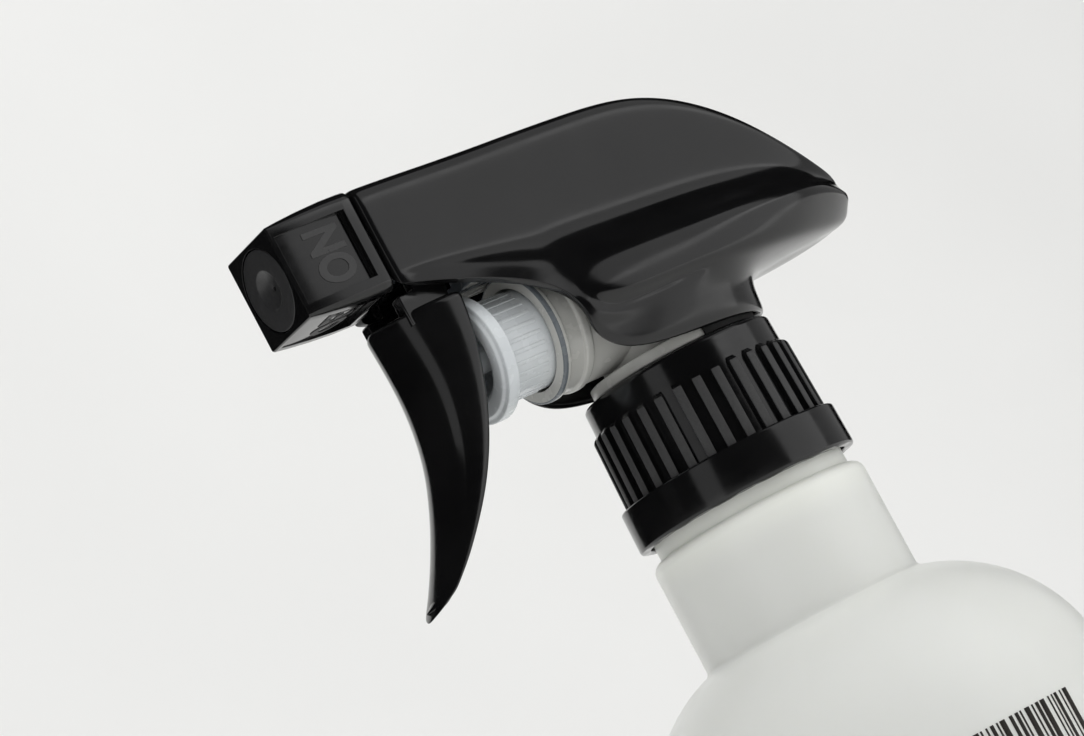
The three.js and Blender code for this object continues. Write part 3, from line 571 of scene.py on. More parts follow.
# %% [markdown]
# ## Closure collar
# The collar screws the sprayer to the bottle. Its sleeve is a turned profile with a wider
# flange below, and 32 grip ribs stand on it. The ribs could be cut out of a thicker sleeve, but
# it is simpler to add them: one rib is a bevelled plate, its outer face is grained, and each next
# one is turned a little further round the axis.

# %% Collar
collar_mesh = turned(
    [
        (10.35, 22.56, 0.25), (15.07, 22.56, 0.75), (15.48, 6.67, 0.2), (17.36, 6.67, 0.35),
        (17.5, 0, 0.6), (15.9, 0, 0.35), (15.9, 3.45), (13.9, 3.45), (13.9, 21.3), (10.35, 21.3),
    ],
    steps=128,
    closed=True,
)
WAVES, WAVE_HEIGHT = 14, 0.07  # the lower edge is a little uneven, as trimmed plastic is
for point in collar_mesh.verts:
    if point.co.z < 0.1 and point.co.xy.length > 16:
        turn_to = math.atan2(point.co.y, point.co.x)
        point.co.z += WAVE_HEIGHT * (1 + math.sin(WAVES * turn_to))
RIBS = 32
RIB_HALF_WIDTH = 0.7
rib_outline = [(14.4, 6.4), (16.33, 6.4), (15.98, 17.75, 0.35), (14.4, 18.95)]
ribs = []
for index in range(RIBS):
    rib = plate(rib_outline, -RIB_HALF_WIDTH, RIB_HALF_WIDTH, bevel=0.13)
    for face in rib.faces:
        if face.normal.x > 0.35 or face.calc_center_median().x > 15.9:
            face.material_index = 1
    turn_rib = Matrix.Rotation(2 * math.pi * (index + 0.5) / RIBS, 3, "Z")
    bmesh.ops.rotate(rib, cent=(0, 0, 0), matrix=turn_rib, verts=rib.verts)
    ribs.append(rib)
collar = to_object("ribbed_collar", merged(collar_mesh, *ribs), [gloss_black, grain_black])
finish(collar, "collar", ["closure_collar"])

# %% [markdown]
# ## Pump body
# The pump body is one moulding of natural plastic: a wide column on a round foot, the pump
# cylinder lying across it with two beads at its mouth, and a thin barrel running forward to the
# nozzle. The parts are simple solids joined with an exact boolean, so no inner walls are left
# to show through the clear plastic, and then the bores are cut.

# %% Pump body
AXIS_Z = 34.6  # height of the pump cylinder's axis
BARREL_Z = 55.1  # height of the barrel and of the nozzle
PIVOT_X, PIVOT_Z, PIVOT_HALF = -34, 52.5, 1.6  # the square bar that the trigger turns on
# The faces past this line take the mouth's painted shade.
MOUTH_SHADE_LINE = (-20.85, 9.3)  # in front of this x and outside this radius the mouth looks darker
column = to_object(
    "pump_housing",
    turned([(0, 21.4), (10, 21.4), (10, 22.9), (12.9, 22.9, 0.3), (12.9, 24.7, 0.3),
            (10, 24.7, 0.3), (10, 40.4, 0.4), (0, 40.4)], steps=96),
    [pump_plastic],
)
cylinder = turned(
    [(0, -21.5), (9.8, -21.5, 0.35), (9.8, -20.8), (9.75, -20.1, 0.3), (9.3, -20.0, 0.15),
     (9.3, -17.4, 0.15), (9.75, -17.3, 0.3), (9.75, -15.9, 0.4), (9.3, -15.7, 0.2), (9.3, 0),
     (0, 0)],
    X_AXIS, AXIS_Z,
)
neck = turned([(0, 39.4), (5, 39.4), (5, 59, 0.4), (0, 59)], steps=64)
barrel = turned([(0, -44.5), (3.8, -44.5, 0.3), (3.8, 0), (0, 0)], X_AXIS, BARREL_Z, steps=64)
solids = [
    cylinder, neck, barrel,
    block(-36.6, -31.4, -3.8, 3.8, 50.1, BARREL_Z),
    block(-20.5, 0, -1.2, 1.2, 42.9, 44.6),
    block(-27, 0, -1.2, 1.2, 44.6, BARREL_Z),
    block(-27, 0, -7, 7, 44.6, 46.1, 0.25),
    plate([(PIVOT_X + i * PIVOT_HALF, PIVOT_Z + j * PIVOT_HALF, 1.5)
           for i, j in ((-1, -1), (1, -1), (1, 1), (-1, 1))], -6.4, 6.4),
]
bores = [
    turned([(0, -30), (7.9, -30), (7.9, -4.5), (0, -4.5)], X_AXIS, AXIS_Z),
    turned([(0, -5.5), (1.3, -5.5), (1.3, 0), (0, 0)], X_AXIS, AXIS_Z, steps=32),
    turned([(0, 20), (3.75, 20), (3.75, 26.6), (2.55, 26.6), (2.55, 32), (1.6, 32), (1.6, 38.2),
            (3, 38.2), (3, 60), (0, 60)], steps=48),
    turned([(0, -46), (1.5, -46), (1.5, 0), (0, 0)], X_AXIS, BARREL_Z, steps=32),
]
combine(column, [to_object("solid", s, []) for s in solids], "UNION")
combine(column, [to_object("bore", s, []) for s in bores], "DIFFERENCE")
# Faces at the front of the cylinder's mouth take a dark blue-grey copy of the pump plastic: painted
# shade, not a colour of the moulding.
column.data.materials.append(mouth_plastic)
for face in column.data.polygons:
    x, y, z = face.center / MM
    if x < MOUTH_SHADE_LINE[0] and math.hypot(y, z - HEAD / MM - AXIS_Z) > MOUTH_SHADE_LINE[1]:
        face.material_index = 1
finish(column, "head", ["pump_body"])

# %% [markdown]
# ## Piston
# The piston is a bluish white cup. Its wide rim catches the trigger's post, and its skirt, with
# fine ribs along it, slides in the cylinder. Behind it sits a grey lip seal.

# %% Piston and its seal
piston_mesh = turned(
    [
        (0, -31.3), (1.3, -31.3, 0.2), (2.2, -30.4, 0.3), (2.2, -26, 0.3), (5.6, -26, 0.4),
        (5.6, -31.2, 0.2), (6.3, -31.7, 0.2), (8.3, -31.7, 0.15), (8.7, -31.3, 0.15),
        (9.4, -31.2, 0.2), (9.4, -29.3, 0.15), (8.3, -29.3, 0.2), (7.9, -28.7, 0.2),
        (7.5, -28.6, 0.2), (7.5, -17.6, 0.15), (6.6, -17.6, 0.1), (6.6, -13.8, 0.2),
        (5.6, -13.8, 0.2), (5.6, -24.4, 0.3), (0, -24.4),
    ],
    X_AXIS, AXIS_Z, steps=112,
)
PISTON_RIBS = 28
piston_ribs = []
for index in range(PISTON_RIBS):
    rib = block(-28.9, -22.6, -0.3, 0.3, 7.0, 7.61, 0.1)
    turn_rib = Matrix.Rotation(2 * math.pi * (index + 0.5) / PISTON_RIBS, 3, "X")
    bmesh.ops.rotate(rib, cent=(0, 0, 0), matrix=turn_rib, verts=rib.verts)
    bmesh.ops.translate(rib, vec=(0, 0, AXIS_Z), verts=rib.verts)
    piston_ribs.append(rib)
piston = to_object("piston_cup", merged(piston_mesh, *piston_ribs), [piston_plastic])
finish(piston, "piston", ["piston"])

seal = to_object(
    "piston_lip_seal",
    turned([(6.75, -17.3, 0.1), (7.75, -17.3, 0.15), (7.75, -16.6, 0.15), (7.3, -15.5, 0.3),
            (7.75, -14.4, 0.15), (7.75, -13.8, 0.15), (6.75, -13.8, 0.1)],
           X_AXIS, AXIS_Z, closed=True),
    [seal_rubber],
)
finish(seal, "piston", ["piston_seal"])

# %% [markdown]
# ## Springs
# A spring is a small circle spun with a rise per step. Both springs shorten as their joint
# moves.

# %% Springs
def spring(coil_radius, wire_radius, turns, start, end, steps=28):
    """A helix about Z from start to end, with a round wire and closed ends."""
    bm = bmesh.new()
    bmesh.ops.create_circle(bm, cap_ends=True, radius=wire_radius, segments=10)
    stand = Matrix.Translation((coil_radius, 0, start)) @ Matrix.Rotation(math.pi / 2, 4, "X")
    bmesh.ops.transform(bm, matrix=stand, verts=bm.verts)
    bmesh.ops.spin(
        bm,
        geom=bm.verts[:] + bm.edges[:] + bm.faces[:],
        cent=(0, 0, 0),
        axis=Z_AXIS,
        dvec=(0, 0, (end - start) / (turns * steps)),
        angle=2 * math.pi * turns,
        steps=turns * steps,
        use_merge=False,
    )
    return bm


coil = spring(4.3, 0.5, 6, -23.6, -5.3)
lay = Matrix.Translation((0, 0, AXIS_Z)) @ Matrix.Rotation(math.pi / 2, 4, "Y")
bmesh.ops.transform(coil, matrix=lay, verts=coil.verts)
piston_coil = to_object("piston_coil", coil, [steel])
finish(piston_coil, "head", ["piston_spring"])
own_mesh(piston_coil)

valve_coil = to_object("valve_coil", spring(1.9, 0.25, 5, 40.05, 49.45), [steel])
finish(valve_coil, "head", ["outlet_spring"])
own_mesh(valve_coil)

# %% [markdown]
# ## Cover
# The cover is the piece that gives the sprayer its look: flat upright sides, a soft cove below
# them, a full belly that runs out into the tail, and a skirt round the column. It could be
# carved from a block, but its curves all run from nose to tail, so it is drawn as a boat is:
# as ribs, which are set up at stations along its length.

# %% Cover: its stations
# Each station: x, top, crease under the flat side and half width of the flat side, then the
# belly's widest point, the tuck under it, the top and middle of the skirt, and the open edge
STATIONS = [
    (-40.2, 62.8, 49.8, 8.4, None, None, None, None, (-40.2, 8.4, 47.3)),
    (-39.4, 62.9, 49.7, 8.45, None, None, None, None, (-39.4, 8.6, 47.1)),
    (-33, 62.7, 48.9, 8.6, None, None, None, None, (-33.5, 9.5, 45.3)),
    (-26, 62.4, 47.6, 8.75, None, None, None, None, (-27.3, 10.9, 42.7)),
    (-19, 62.2, 46.4, 8.85, None, None, None, None, (-21.6, 12.6, 39.2)),
    (-15.5, 62.15, 45.9, 8.9, None, None, None, None, (-18.9, 13.4, 35.8)),
    (-12, 62.1, 45.5, 8.95, (-14.6, 13.9, 38.6), (-16.5, 14.3, 34.9), (-17.5, 14.2, 33.4),
     (-17.9, 14.0, 32.7), (-18.2, 13.8, 32.0)),
    (-4, 61.9, 44.8, 9.0, (-8, 14.9, 38.2), (-12.2, 15.0, 32.3), (-15.4, 13.9, 30.7),
     (-17.2, 13.5, 30.0), (-18.5, 13.3, 29.1)),
    (4, 61.6, 44.3, 9.0, (0.5, 15.4, 37.9), (-3, 15.6, 32.3), (-7, 14.6, 30.9),
     (-11.5, 13.6, 27.8), (-15.0, 13.3, 24.9)),
    (11, 60.5, 43.95, 8.95, (8.5, 15.5, 37.6), (6, 15.8, 32.3), (2.4, 15.6, 30.9),
     (-1.0, 15.2, 27.4), (-5.0, 14.4, 23.7)),
    (18, 57.6, 43.5, 8.85, (17, 14.9, 37.2), (14.5, 14.4, 31.6), (10, 12.9, 30.2),
     (7.5, 13.6, 27.2), (5.5, 14.2, 23.3)),
    (25, 52.7, 42.5, 8.5, (25, 13.6, 36.7), (23, 12.0, 31.0), (14.3, 8.7, 30.0),
     (12.8, 9.0, 27.2), (12.3, 9.4, 23.2)),
    (31.2, 46.4, 40.9, 7.7, (31.4, 10.8, 36.1), (29.4, 8.6, 30.7), (16.4, 5.0, 29.9),
     (15.2, 4.9, 27.2), (15.2, 5.1, 23.2)),
    (36.2, 41.2, 38.3, 5.9, (36.9, 7.3, 35.2), (35.2, 4.9, 30.8), (17.0, 2.0, 29.9),
     (15.8, 1.9, 27.2), (15.9, 2.0, 23.2)),
    (40.0, 37.7, 36.3, 3.4, (41.0, 3.2, 34.0), (40.3, 0, 31.5), (17.1, 0, 29.9),
     (15.9, 0, 27.2), (16.0, 0, 23.2)),
]
print("cover:", len(STATIONS), "stations")

# %% [markdown]
# Each station becomes a rib of points, from the middle of the roof down to the open edge. Most of
# them are placed part of the way between two named points, so a change to one number moves its
# neighbours too and the surface stays fair.

# %% Cover: its ribs
GROOVES = {-4: 0.9, 4: 0.8, 11: 0.3}  # depth of the groove over the skirt
FRONT_SHARES = (0.6, 0.7, 0.79, 0.87, 0.93, 0.97)


def cover_rib(station):
    """The points of one rib, from the middle of the roof down to the open edge."""
    x, roof, crease, flat, belly, tuck, skirt, lower, edge = station
    corner = min(1.0, (roof - crease) * 0.3)
    start, end = Vector((x, flat, crease)), Vector(edge)
    if belly is None:
        lowers = [start.lerp(end, share) for share in FRONT_SHARES]
    else:
        belly, tuck, skirt, lower = (Vector(p) for p in (belly, tuck, skirt, lower))
        swell = Vector((0, 0.25, 0)) if tuck.y else Vector()
        groove = tuck.lerp(skirt, 0.45) - Vector((0, GROOVES.get(x, 0), 0))
        lowers = [belly, belly.lerp(tuck, 0.72) + swell, tuck, groove, skirt, lower]
    wide = lowers[0]
    cove = start.lerp(wide, 0.42) - Vector((0, 0.05 * (wide.y - flat), 0))
    shoulder = start.lerp(wide, 0.74) + Vector((0, 0.05 * (wide.y - flat), 0))
    return [
        Vector((x, 0, roof + 0.12)),
        Vector((x, flat * 0.5, roof + 0.1)),
        Vector((x, flat - corner, roof)),
        Vector((x, flat, roof - corner)),
        Vector((x, flat, crease + (roof - crease) * 0.55)),
        Vector((x, flat, crease + (roof - crease) * 0.12)),
        start.lerp(wide, 0.08),
        cove,
        shoulder,
        *lowers,
        end,
    ]


ribs_of_cover = [cover_rib(station) for station in STATIONS]
print("cover ribs:", len(ribs_of_cover), "points each:", len(ribs_of_cover[0]))

# %% [markdown]
# The skin is one sheet of quads. A chain of edges starts round the barrel and is extruded from
# rib to rib towards the tail. Mirror gives the other half, and the open end of the tail is
# filled. Solidify then gives the wall and Subdivision Surface the smooth skin. A loft with more
# ribs would need no smoothing, but every added rib is one more that can be uneven.

# %% Cover: the sheet
MOUTH_RADIUS = 6.35  # the round hole in the nose, round the barrel
TAIL_X, TAIL_Z = 30, 31  # past these an open edge belongs to the tail
SMOOTH_LEVELS = 3


def sheet_of_ribs(all_ribs):
    """Extrude a chain of edges from rib to rib and mirror it across the middle."""
    bm = bmesh.new()
    chain = [bm.verts.new(p) for p in all_ribs[0]]
    edges = [bm.edges.new(pair) for pair in zip(chain, chain[1:])]
    for rib in all_ribs[1:]:
        grown = bmesh.ops.extrude_edge_only(bm, edges=edges)["geom"]
        edges = [e for e in grown if isinstance(e, bmesh.types.BMEdge)]
        fresh = {v for v in grown if isinstance(v, bmesh.types.BMVert)}
        chain = [
            next(e.other_vert(old) for e in old.link_edges if e.other_vert(old) in fresh)
            for old in chain
        ]
        for point, target in zip(chain, rib):
            point.co = target
    bmesh.ops.mirror(
        bm, geom=bm.faces[:], axis="Y", merge_dist=0.01, matrix=Matrix.Identity(4)
    )
    bmesh.ops.remove_doubles(bm, verts=bm.verts, dist=0.01)
    return bm


def add_wall(piece, thickness, even=False):
    """Give a sheet its wall, inwards, and then smooth it."""
    wall = piece.modifiers.new("wall", "SOLIDIFY")
    wall.thickness = thickness * MM
    wall.offset = -1
    wall.use_even_offset = even
    return subdivide(piece, SMOOTH_LEVELS)


barrel_centre = Vector((STATIONS[0][0], 0, BARREL_Z))
mouth = [
    barrel_centre + MOUTH_RADIUS * (p - barrel_centre).normalized() for p in ribs_of_cover[0]
]
cover_mesh = sheet_of_ribs([mouth, *ribs_of_cover])
rim = [
    e for e in cover_mesh.edges
    if e.is_boundary and all(v.co.x > TAIL_X and v.co.z > TAIL_Z for v in e.verts)
]
bmesh.ops.contextual_create(cover_mesh, geom=rim)
cover = to_object("cover_shell", cover_mesh, [gloss_black], sharp=180)
add_wall(cover, 1.2, even=True)
finish(cover, "head", ["shroud"])

# %% [markdown]
# Inside the skirt a second, shorter skirt runs round the back of the column and hides it. It stands
# partly for a black inner part of the cover and partly for the shade under the skirt, and its very
# dark, weakly reflecting finish is painted shade. It is a small closed section spun through a
# little more than half a turn, with its ends left flat.

# %% Inner skirt
SKIRT_HALF_TURN = math.radians(98)
SKIRT_SECTION = ((13.0, 0, 22.86), (13.5, 0, 22.86), (13.5, 0, 27), (13.0, 0, 27))
skirt_and_shade_mesh = bmesh.new()
section = [skirt_and_shade_mesh.verts.new(p) for p in SKIRT_SECTION]
skirt_and_shade_mesh.faces.new(section)
bmesh.ops.rotate(
    skirt_and_shade_mesh, cent=(0, 0, 0), matrix=Matrix.Rotation(-SKIRT_HALF_TURN, 3, "Z"), verts=section
)
bmesh.ops.spin(
    skirt_and_shade_mesh,
    geom=skirt_and_shade_mesh.verts[:] + skirt_and_shade_mesh.edges[:] + skirt_and_shade_mesh.faces[:],
    cent=(0, 0, 0),
    axis=Z_AXIS,
    angle=2 * SKIRT_HALF_TURN,
    steps=60,
    use_merge=False,
)
skirt_and_shade_piece = to_object("cover_skirt_and_painted_shade", skirt_and_shade_mesh, [painted_shade_black])
finish(skirt_and_shade_piece, "head")

# %% [markdown]
# ## Trigger
# The trigger is a curved blade with a rounded front and an open back, like a channel. It is
# built as the cover is, because one section could not give its taper and its curl: half a
# section is extruded down the blade, mirrored and given a wall.
# Two arms with round ears carry it on the pivot, and a rib inside presses on the piston.

# %% Trigger
# Down the blade: front x and z, back x and z, half width
BLADE = [
    (-43.6, 43.9, -31.8, 43.9, 8.7),
    (-43.5, 42.8, -31.8, 42.8, 8.75),
    (-43.15, 38, -32.4, 38, 8.6),
    (-43.0, 33.5, -33.6, 33.5, 8.4),
    (-43.5, 28.5, -35.2, 28.5, 7.95),
    (-44.7, 23.6, -37.4, 23.6, 7.45),
    (-46.4, 19.5, -39.8, 19.5, 7.0),
    (-48.4, 15.5, -42.4, 15.8, 6.5),
    (-50.8, 11.4, -45.7, 12.0, 5.9),
    (-53.4, 7.5, -48.9, 8.6, 5.2),
    (-55.4, 4.8, -51.3, 6.6, 4.7),
    (-56.6, 3.2, -52.6, 5.4, 4.3),
]
HALF_SECTION = ((0, 0), (0.05, 0.34), (0.22, 0.70), (0.50, 0.94), (0.78, 1.0), (1, 1.0))


def blade_rib(front_x, front_z, back_x, back_z, half):
    """Half a section of the blade, from its front line to its back edge."""
    front, rear = Vector((front_x, 0, front_z)), Vector((back_x, 0, back_z))
    return [
        front.lerp(rear, depth) + Vector((0, width * half, 0)) for depth, width in HALF_SECTION
    ]


blade_ribs = [blade_rib(*row) for row in BLADE]
top_middle = [Vector((p.x * 0.94 - 2.2, 0, p.z + 0.02)) for p in blade_ribs[0]]
tip_cap = [blade_ribs[-1][0].lerp(p, 0.9) for p in blade_ribs[-1]]
tip_middle = [Vector((p.x, 0, p.z)) for p in tip_cap]
blade_mesh = sheet_of_ribs([top_middle, *blade_ribs, tip_middle])
blade = to_object("curved_trigger", blade_mesh, [gloss_black], sharp=180)
add_wall(blade, 1.5)
arm_outline = [
    (-40.5, 41.5), (-40.5, 46.2, 0.5), (-37.6, 46.2, 0.4), (-37.2, 55.7, 3.0), (-30.8, 55.7, 3.0),
    (-32.3, 45.6, 0.8), (-33.3, 41.5),
]
extras = [
    to_object("arm", plate(arm_outline, 4.3, 6.6, 0.25), [gloss_black]),
    to_object("arm", plate(arm_outline, -6.6, -4.3, 0.25), [gloss_black]),
    to_object("push_rib", block(-42.2, -31.6, -1.6, 1.6, 31, 38, 0.3), [gloss_black]),
]
bake_shape(blade, sharp=60)
hole = turned([(0, -9), (1.75, -9), (1.75, 9), (0, 9)], steps=48)
lay = Matrix.Translation((PIVOT_X, 0, PIVOT_Z)) @ Matrix.Rotation(math.pi / 2, 4, "X")
bmesh.ops.transform(hole, matrix=lay, verts=hole.verts)
combine(blade, extras, "UNION")
combine(blade, [to_object("hole", hole, [])], "DIFFERENCE")
finish(blade, "trigger", ["trigger"])

# %% [markdown]
# ## Nozzle
# The nozzle is a square sleeve with bulging sides. Rings with rounded corners are bridged one to
# the next, which lets the corners grow rounder towards the back. A plain bevelled cube would
# have the same corner all along.

# %% Nozzle rings
# Down the sleeve: x, half width, corner radius
CAP = [
    (-54.7, 6.95, 0.35), (-54.5, 7.1, 0.5), (-52.5, 7.35, 0.8), (-49, 7.66, 1.1), (-45, 7.88, 1.35),
    (-42, 7.92, 1.5), (-40.9, 7.9, 1.5), (-40.6, 7.75, 1.4),
]


def rounded_square(x, half, radius):
    """One ring of the sleeve: a square face with its corners bevelled."""
    bm = bmesh.new()
    bmesh.ops.create_circle(bm, cap_ends=True, radius=half * math.sqrt(2), segments=4)
    bmesh.ops.rotate(
        bm, cent=(0, 0, 0), matrix=Matrix.Rotation(math.pi / 4, 3, "Z"), verts=bm.verts
    )
    bmesh.ops.bevel(
        bm, geom=bm.verts[:], offset=radius, segments=5, profile=0.5, affect="VERTICES", material=-1
    )
    bmesh.ops.rotate(
        bm, cent=(0, 0, 0), matrix=Matrix.Rotation(math.pi / 2, 3, "Y"), verts=bm.verts
    )
    bmesh.ops.translate(bm, vec=(x, 0, BARREL_Z), verts=bm.verts)
    return bm


def sleeve(rows):
    """Rings joined by bridges, closed at both ends."""
    bm = merged(*[rounded_square(*row) for row in rows])
    caps = sorted(bm.faces, key=lambda f: f.calc_center_median().x)
    bmesh.ops.delete(bm, geom=caps[1:-1], context="FACES_ONLY")
    rings = []
    for row in rows:
        rings.append([e for e in bm.edges if all(abs(v.co.x - row[0]) < 1e-4 for v in e.verts)])
    for first, second in zip(rings, rings[1:]):
        bmesh.ops.bridge_loops(bm, edges=first + second)
    return bm


cap = to_object("nozzle_sleeve", sleeve(CAP), [gloss_black], sharp=40)
print("nozzle sleeve faces before the cuts:", len(cap.data.polygons))

# %% [markdown]
# A shallow window with a curved floor is cut into each side, and a seat for the disc and the
# barrel into the middle. Each window is drawn once, on a side that faces up, and turned.

# %% Nozzle windows
WINDOW_FRONT, WINDOW_REAR, WINDOW_HALF = -54.0, -42.4, 5.3
FLOOR_CREST, FLOOR_TOP, FLOOR_CURVE = -49.0, 7.35, 0.011


def window_floor(x):
    """Height of a window's curved floor above the nozzle's axis."""
    return FLOOR_TOP - FLOOR_CURVE * (x - FLOOR_CREST) ** 2


def on_side(quarter):
    """From a side drawn facing up, about the nozzle's axis, to one of its four sides."""
    turn_side = Matrix.Rotation((quarter + 1) * math.pi / 2, 4, "X")
    return Matrix.Translation((0, 0, BARREL_Z)) @ turn_side


FLOOR_STEPS = 12
window_step = (WINDOW_REAR - WINDOW_FRONT) / FLOOR_STEPS
along = [WINDOW_FRONT + window_step * i for i in range(FLOOR_STEPS + 1)]
window_outline = [(x, window_floor(x)) for x in along]
window_outline += [(WINDOW_REAR, 9.5), (WINDOW_FRONT, 9.5)]
windows = []
for quarter in range(4):
    opening = plate(window_outline, -WINDOW_HALF, WINDOW_HALF)
    groove = block(WINDOW_REAR - 0.8, WINDOW_REAR - 0.45, -5.1, 5.1, 6.55, 9.0)
    for window in (opening, groove):
        bmesh.ops.transform(window, matrix=on_side(quarter), verts=window.verts)
        windows.append(to_object("window", window, []))
seat = turned(
    [(0, -56), (6.3, -56), (6.3, -53), (3.05, -53), (3.05, -51), (6.3, -51), (6.3, -40), (0, -40)],
    X_AXIS, BARREL_Z,
)
combine(cap, [*windows, to_object("seat", seat, [])], "DIFFERENCE")
soften(cap, 0.13, 2, 28)
finish(cap, "nozzle", ["nozzle_cap"])

# %% [markdown]
# The words on and off stand on the window floors in a plain block letter, which shows how far
# the nozzle is turned. They could be bump in the finish, but real raised letters catch the light
# from every side. A text curve gives them, it is made a mesh, and the mesh is fitted in place.

# %% Raised letters
LETTER_HEIGHT, LETTER_WIDTH, LETTER_RISE = 6.2, 4.2, 0.1
WORD_MIDDLE, WORD_MARGIN = -47.2, 1.2


def word(name, text, quarter):
    """Raised letters on one side of the nozzle, their tops towards the front."""
    curve = bpy.data.curves.new(name, "FONT")
    curve.body = text
    curve.offset = 0.034
    curve.extrude = 0.05
    curve.resolution_u = 6
    flat = bpy.data.objects.new("spare", curve)
    bpy.context.scene.collection.objects.link(flat)
    graph = bpy.context.evaluated_depsgraph_get()
    mesh = bpy.data.meshes.new_from_object(flat.evaluated_get(graph), depsgraph=graph)
    bpy.data.objects.remove(flat)
    letters = bmesh.new()
    letters.from_mesh(mesh)
    bpy.data.meshes.remove(mesh)
    low = Vector([min(v.co[i] for v in letters.verts) for i in range(3)])
    high = Vector([max(v.co[i] for v in letters.verts) for i in range(3)])
    middle = Matrix.Translation(-(low + high) / 2)
    width = min(LETTER_WIDTH * len(text), WINDOW_HALF * 2 - WORD_MARGIN)
    wanted = Vector((width, LETTER_HEIGHT, 2 * LETTER_RISE))
    fit = Matrix.Diagonal((*(wanted[i] / (high[i] - low[i]) for i in range(3)), 1))
    stand = Matrix.Translation((WORD_MIDDLE, 0, 0)) @ Matrix.Rotation(math.pi / 2, 4, "Z")
    bmesh.ops.transform(letters, matrix=stand @ fit @ middle, verts=letters.verts)
    for point in letters.verts:
        point.co.z += window_floor(point.co.x)
    bmesh.ops.transform(letters, matrix=on_side(quarter), verts=letters.verts)
    return finish(to_object(name, letters, [letter_black]), "nozzle")


word("mark_on_left", "ON", 0)
word("mark_off_below", "OFF", 1)
word("mark_on_right", "ON", 2)
word("mark_off_above", "OFF", 3)

# %% [markdown]
# A round disc closes the front of the nozzle. A small funnel in its middle ends in the hole that
# the spray leaves by. It is turned like the collar, from one closed profile, and it is matt.

# %% Orifice disc
disc = to_object(
    "orifice_face",
    turned(
        [(0.35, -53.3), (0.35, -53.62, 0.05), (1.2, -53.72), (2.1, -54.0), (2.75, -54.42),
         (3.0, -54.6, 0.12), (6.1, -54.6, 0.12), (6.2, -53.3), (2.7, -53.3), (2.7, -51.3),
         (1.5, -51.3), (1.5, -53.0), (0.6, -53.1)],
        X_AXIS, BARREL_Z, closed=True,
    ),
    [satin_black],
)
finish(disc, "nozzle", ["orifice_disc"])

# %% [markdown]
# ## Inner pieces
# The tube, the retainer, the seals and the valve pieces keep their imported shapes, which are
# right already, and only take their finishes. The dip tube shows faintly through the bottle, so
# it is turned again with more steps.

# %% Inner pieces
tube_low, tube_high = (corner.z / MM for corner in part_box("dip_tube"))
tube = to_object(
    "dip_tube_clear",
    turned([(1.7, tube_low), (2.4, tube_low, 0.1), (2.4, tube_high, 0.1), (1.7, tube_high)],
           steps=48, closed=True),
    [tube_plastic], lift=0,
)
finish(tube, "head", ["dip_tube"])

INNER = {
    "closure_gasket": liner_foam,
    "tube_retainer": white_plastic,
    "tube_strainer": white_plastic,
    "inlet_ball": steel,
    "outlet_valve": white_plastic,
    "outlet_plug": white_plastic,
    "nose_bushing": white_plastic,
    "nozzle_seal": seal_rubber,
    "swirl_core": white_plastic,
}
for name, material in INNER.items():
    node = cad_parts[name]
    node.data.materials.clear()
    node.data.materials.append(material)
print("inner pieces:", len(INNER))

# %% [markdown]
# ## Floor and light
# A pale floor sweeps up into a pale wall behind the bottle, so no horizon shows. The sheet is one
# bevelled profile, extruded across. The wall stands well back, and runs only behind the bottle,
# so that it isn't mirrored in the nozzle's face. To the left the floor goes on flat.

# %% Floor
sweep = bmesh.new()
FLOOR_FRONT, WALL_PLACE, WALL_HEIGHT, SWEEP_RADIUS = -2.5, 2.7, 2.6, 0.9
SWEEP_PATH = ((3, FLOOR_FRONT, 0), (3, WALL_PLACE, 0), (3, WALL_PLACE, WALL_HEIGHT))
profile = [sweep.verts.new(p) for p in SWEEP_PATH]
for pair in zip(profile, profile[1:]):
    sweep.edges.new(pair)
bmesh.ops.bevel(
    sweep,
    geom=[profile[1]],
    offset=SWEEP_RADIUS,
    segments=16,
    profile=0.5,
    affect="VERTICES",
    material=-1,
)
across = sweep.edges[:]
for width, height in ((3.3, 3), (2.7, 1e-6)):  # the wall, then plain floor to the left of it
    low = [e for e in across if max(v.co.z for v in e.verts) < height]
    grown = bmesh.ops.extrude_edge_only(sweep, edges=low)["geom"]
    across = [e for e in grown if isinstance(e, bmesh.types.BMEdge)]
    moved = [v for v in grown if isinstance(v, bmesh.types.BMVert)]
    bmesh.ops.translate(sweep, vec=(-width, 0, 0), verts=moved)
bmesh.ops.recalc_face_normals(sweep, faces=sweep.faces)
floor_mesh = bpy.data.meshes.new("floor")
sweep.to_mesh(floor_mesh)
sweep.free()
floor_mesh.shade_smooth()
floor = bpy.data.objects.new("floor", floor_mesh)
bpy.context.scene.collection.objects.link(floor)
paper = shader("paper", (0.86, 0.86, 0.855), 0.9)
tint(paper, noise(paper, 3, 2), (0.85, 0.85, 0.845), (0.87, 0.87, 0.865))
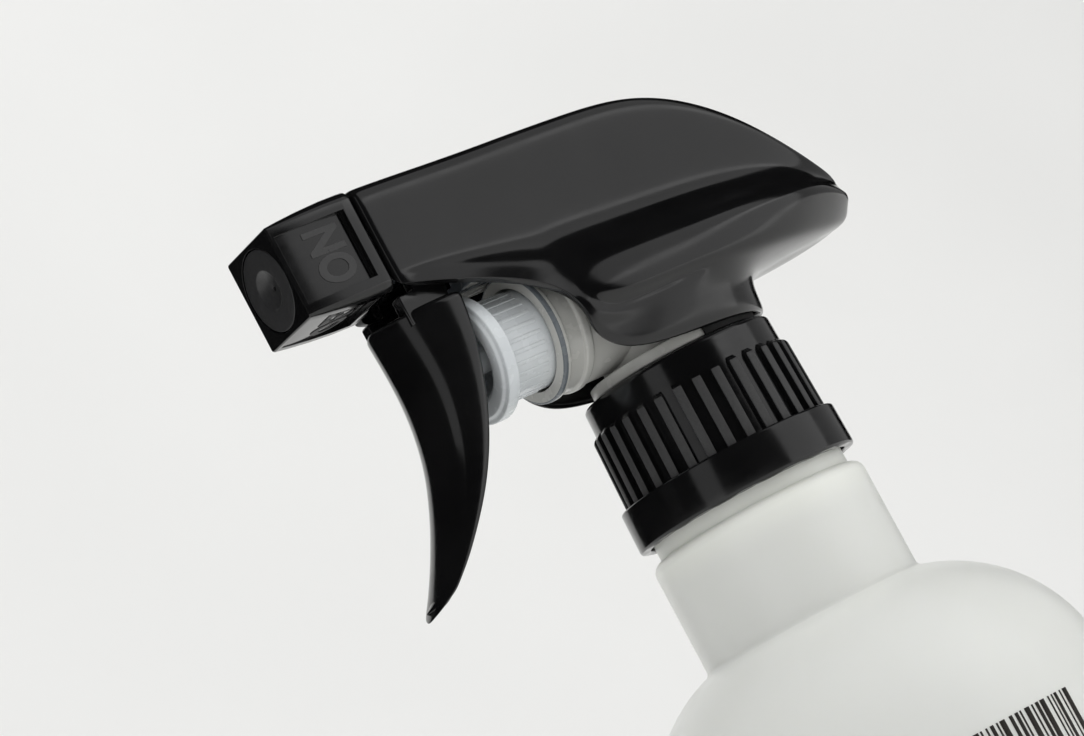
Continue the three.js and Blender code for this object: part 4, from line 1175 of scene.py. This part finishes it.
floor_mesh.materials.append(paper)
print("floor faces:", len(floor_mesh.polygons))

# %% [markdown]
# ## Light
# The pale pieces want broad light from above, and the black ones want something to mirror. One
# set of lights can't do both, so the two lights for the pale pieces are hidden from gloss, and
# the cards are placed one by one where the cover, the collar and the trigger mirror them.

# %% Lights
def softbox(name, size, power, location, target):
    """A rectangular light that shines at a target and isn't seen itself."""
    lamp = bpy.data.lights.new(name, "AREA")
    lamp.shape = "RECTANGLE"
    lamp.size, lamp.size_y = size
    lamp.energy = power
    holder = bpy.data.objects.new(name, lamp)
    holder.visible_camera = False
    aim = Vector(target) - Vector(location)
    turn_lamp = aim.to_track_quat("-Z", "Y").to_matrix().to_4x4()
    holder.matrix_world = Matrix.Translation(location) @ turn_lamp
    bpy.context.scene.collection.objects.link(holder)
    return holder


def radiance(size, level):
    """Power of a softbox that shows this level in a mirror."""
    return level * math.pi * size[0] * size[1]


centre = (0, 0, 0.2)  # the cards and the overhead light aim at the sprayer
overhead = softbox("overhead", (1.6, 1.2), 13, (-0.2, 0.0, 1.7), centre)
wash = softbox("backdrop_wash", (2.4, 1.0), 10.5, (1.7, 1.3, 1.9), (1.7, 2.7, 0.7))
for lamp in (overhead, wash):
    lamp.visible_glossy = False
CARDS = [
    ("panel_card", (1.5, 1.0), 1.0, (1.13, -1.13, 0.36)),
    ("upper_card", (1.3, 0.8), 0.75, (0.85, -1.05, 1.05)),
    ("side_card", (1.3, 1.0), 0.35, (1.6, 0.06, 0.36)),
    ("left_card", (0.6, 1.2), 0.6, (-1.35, -0.75, 0.5)),
]
for name, size, level, location in CARDS:
    softbox(name, size, radiance(size, level), location, centre)

world = bpy.data.worlds.new("studio")
bpy.context.scene.world = world
world.use_nodes = True
sky = world.node_tree.nodes["Background"].inputs
sky["Color"].default_value = (0.98, 0.98, 0.965, 1)
sky["Strength"].default_value = 0.69
world.cycles_visibility.glossy = False
bpy.context.scene.view_settings.view_transform = "Standard"
print("lights:", sorted(lamp.name for lamp in bpy.data.lights))
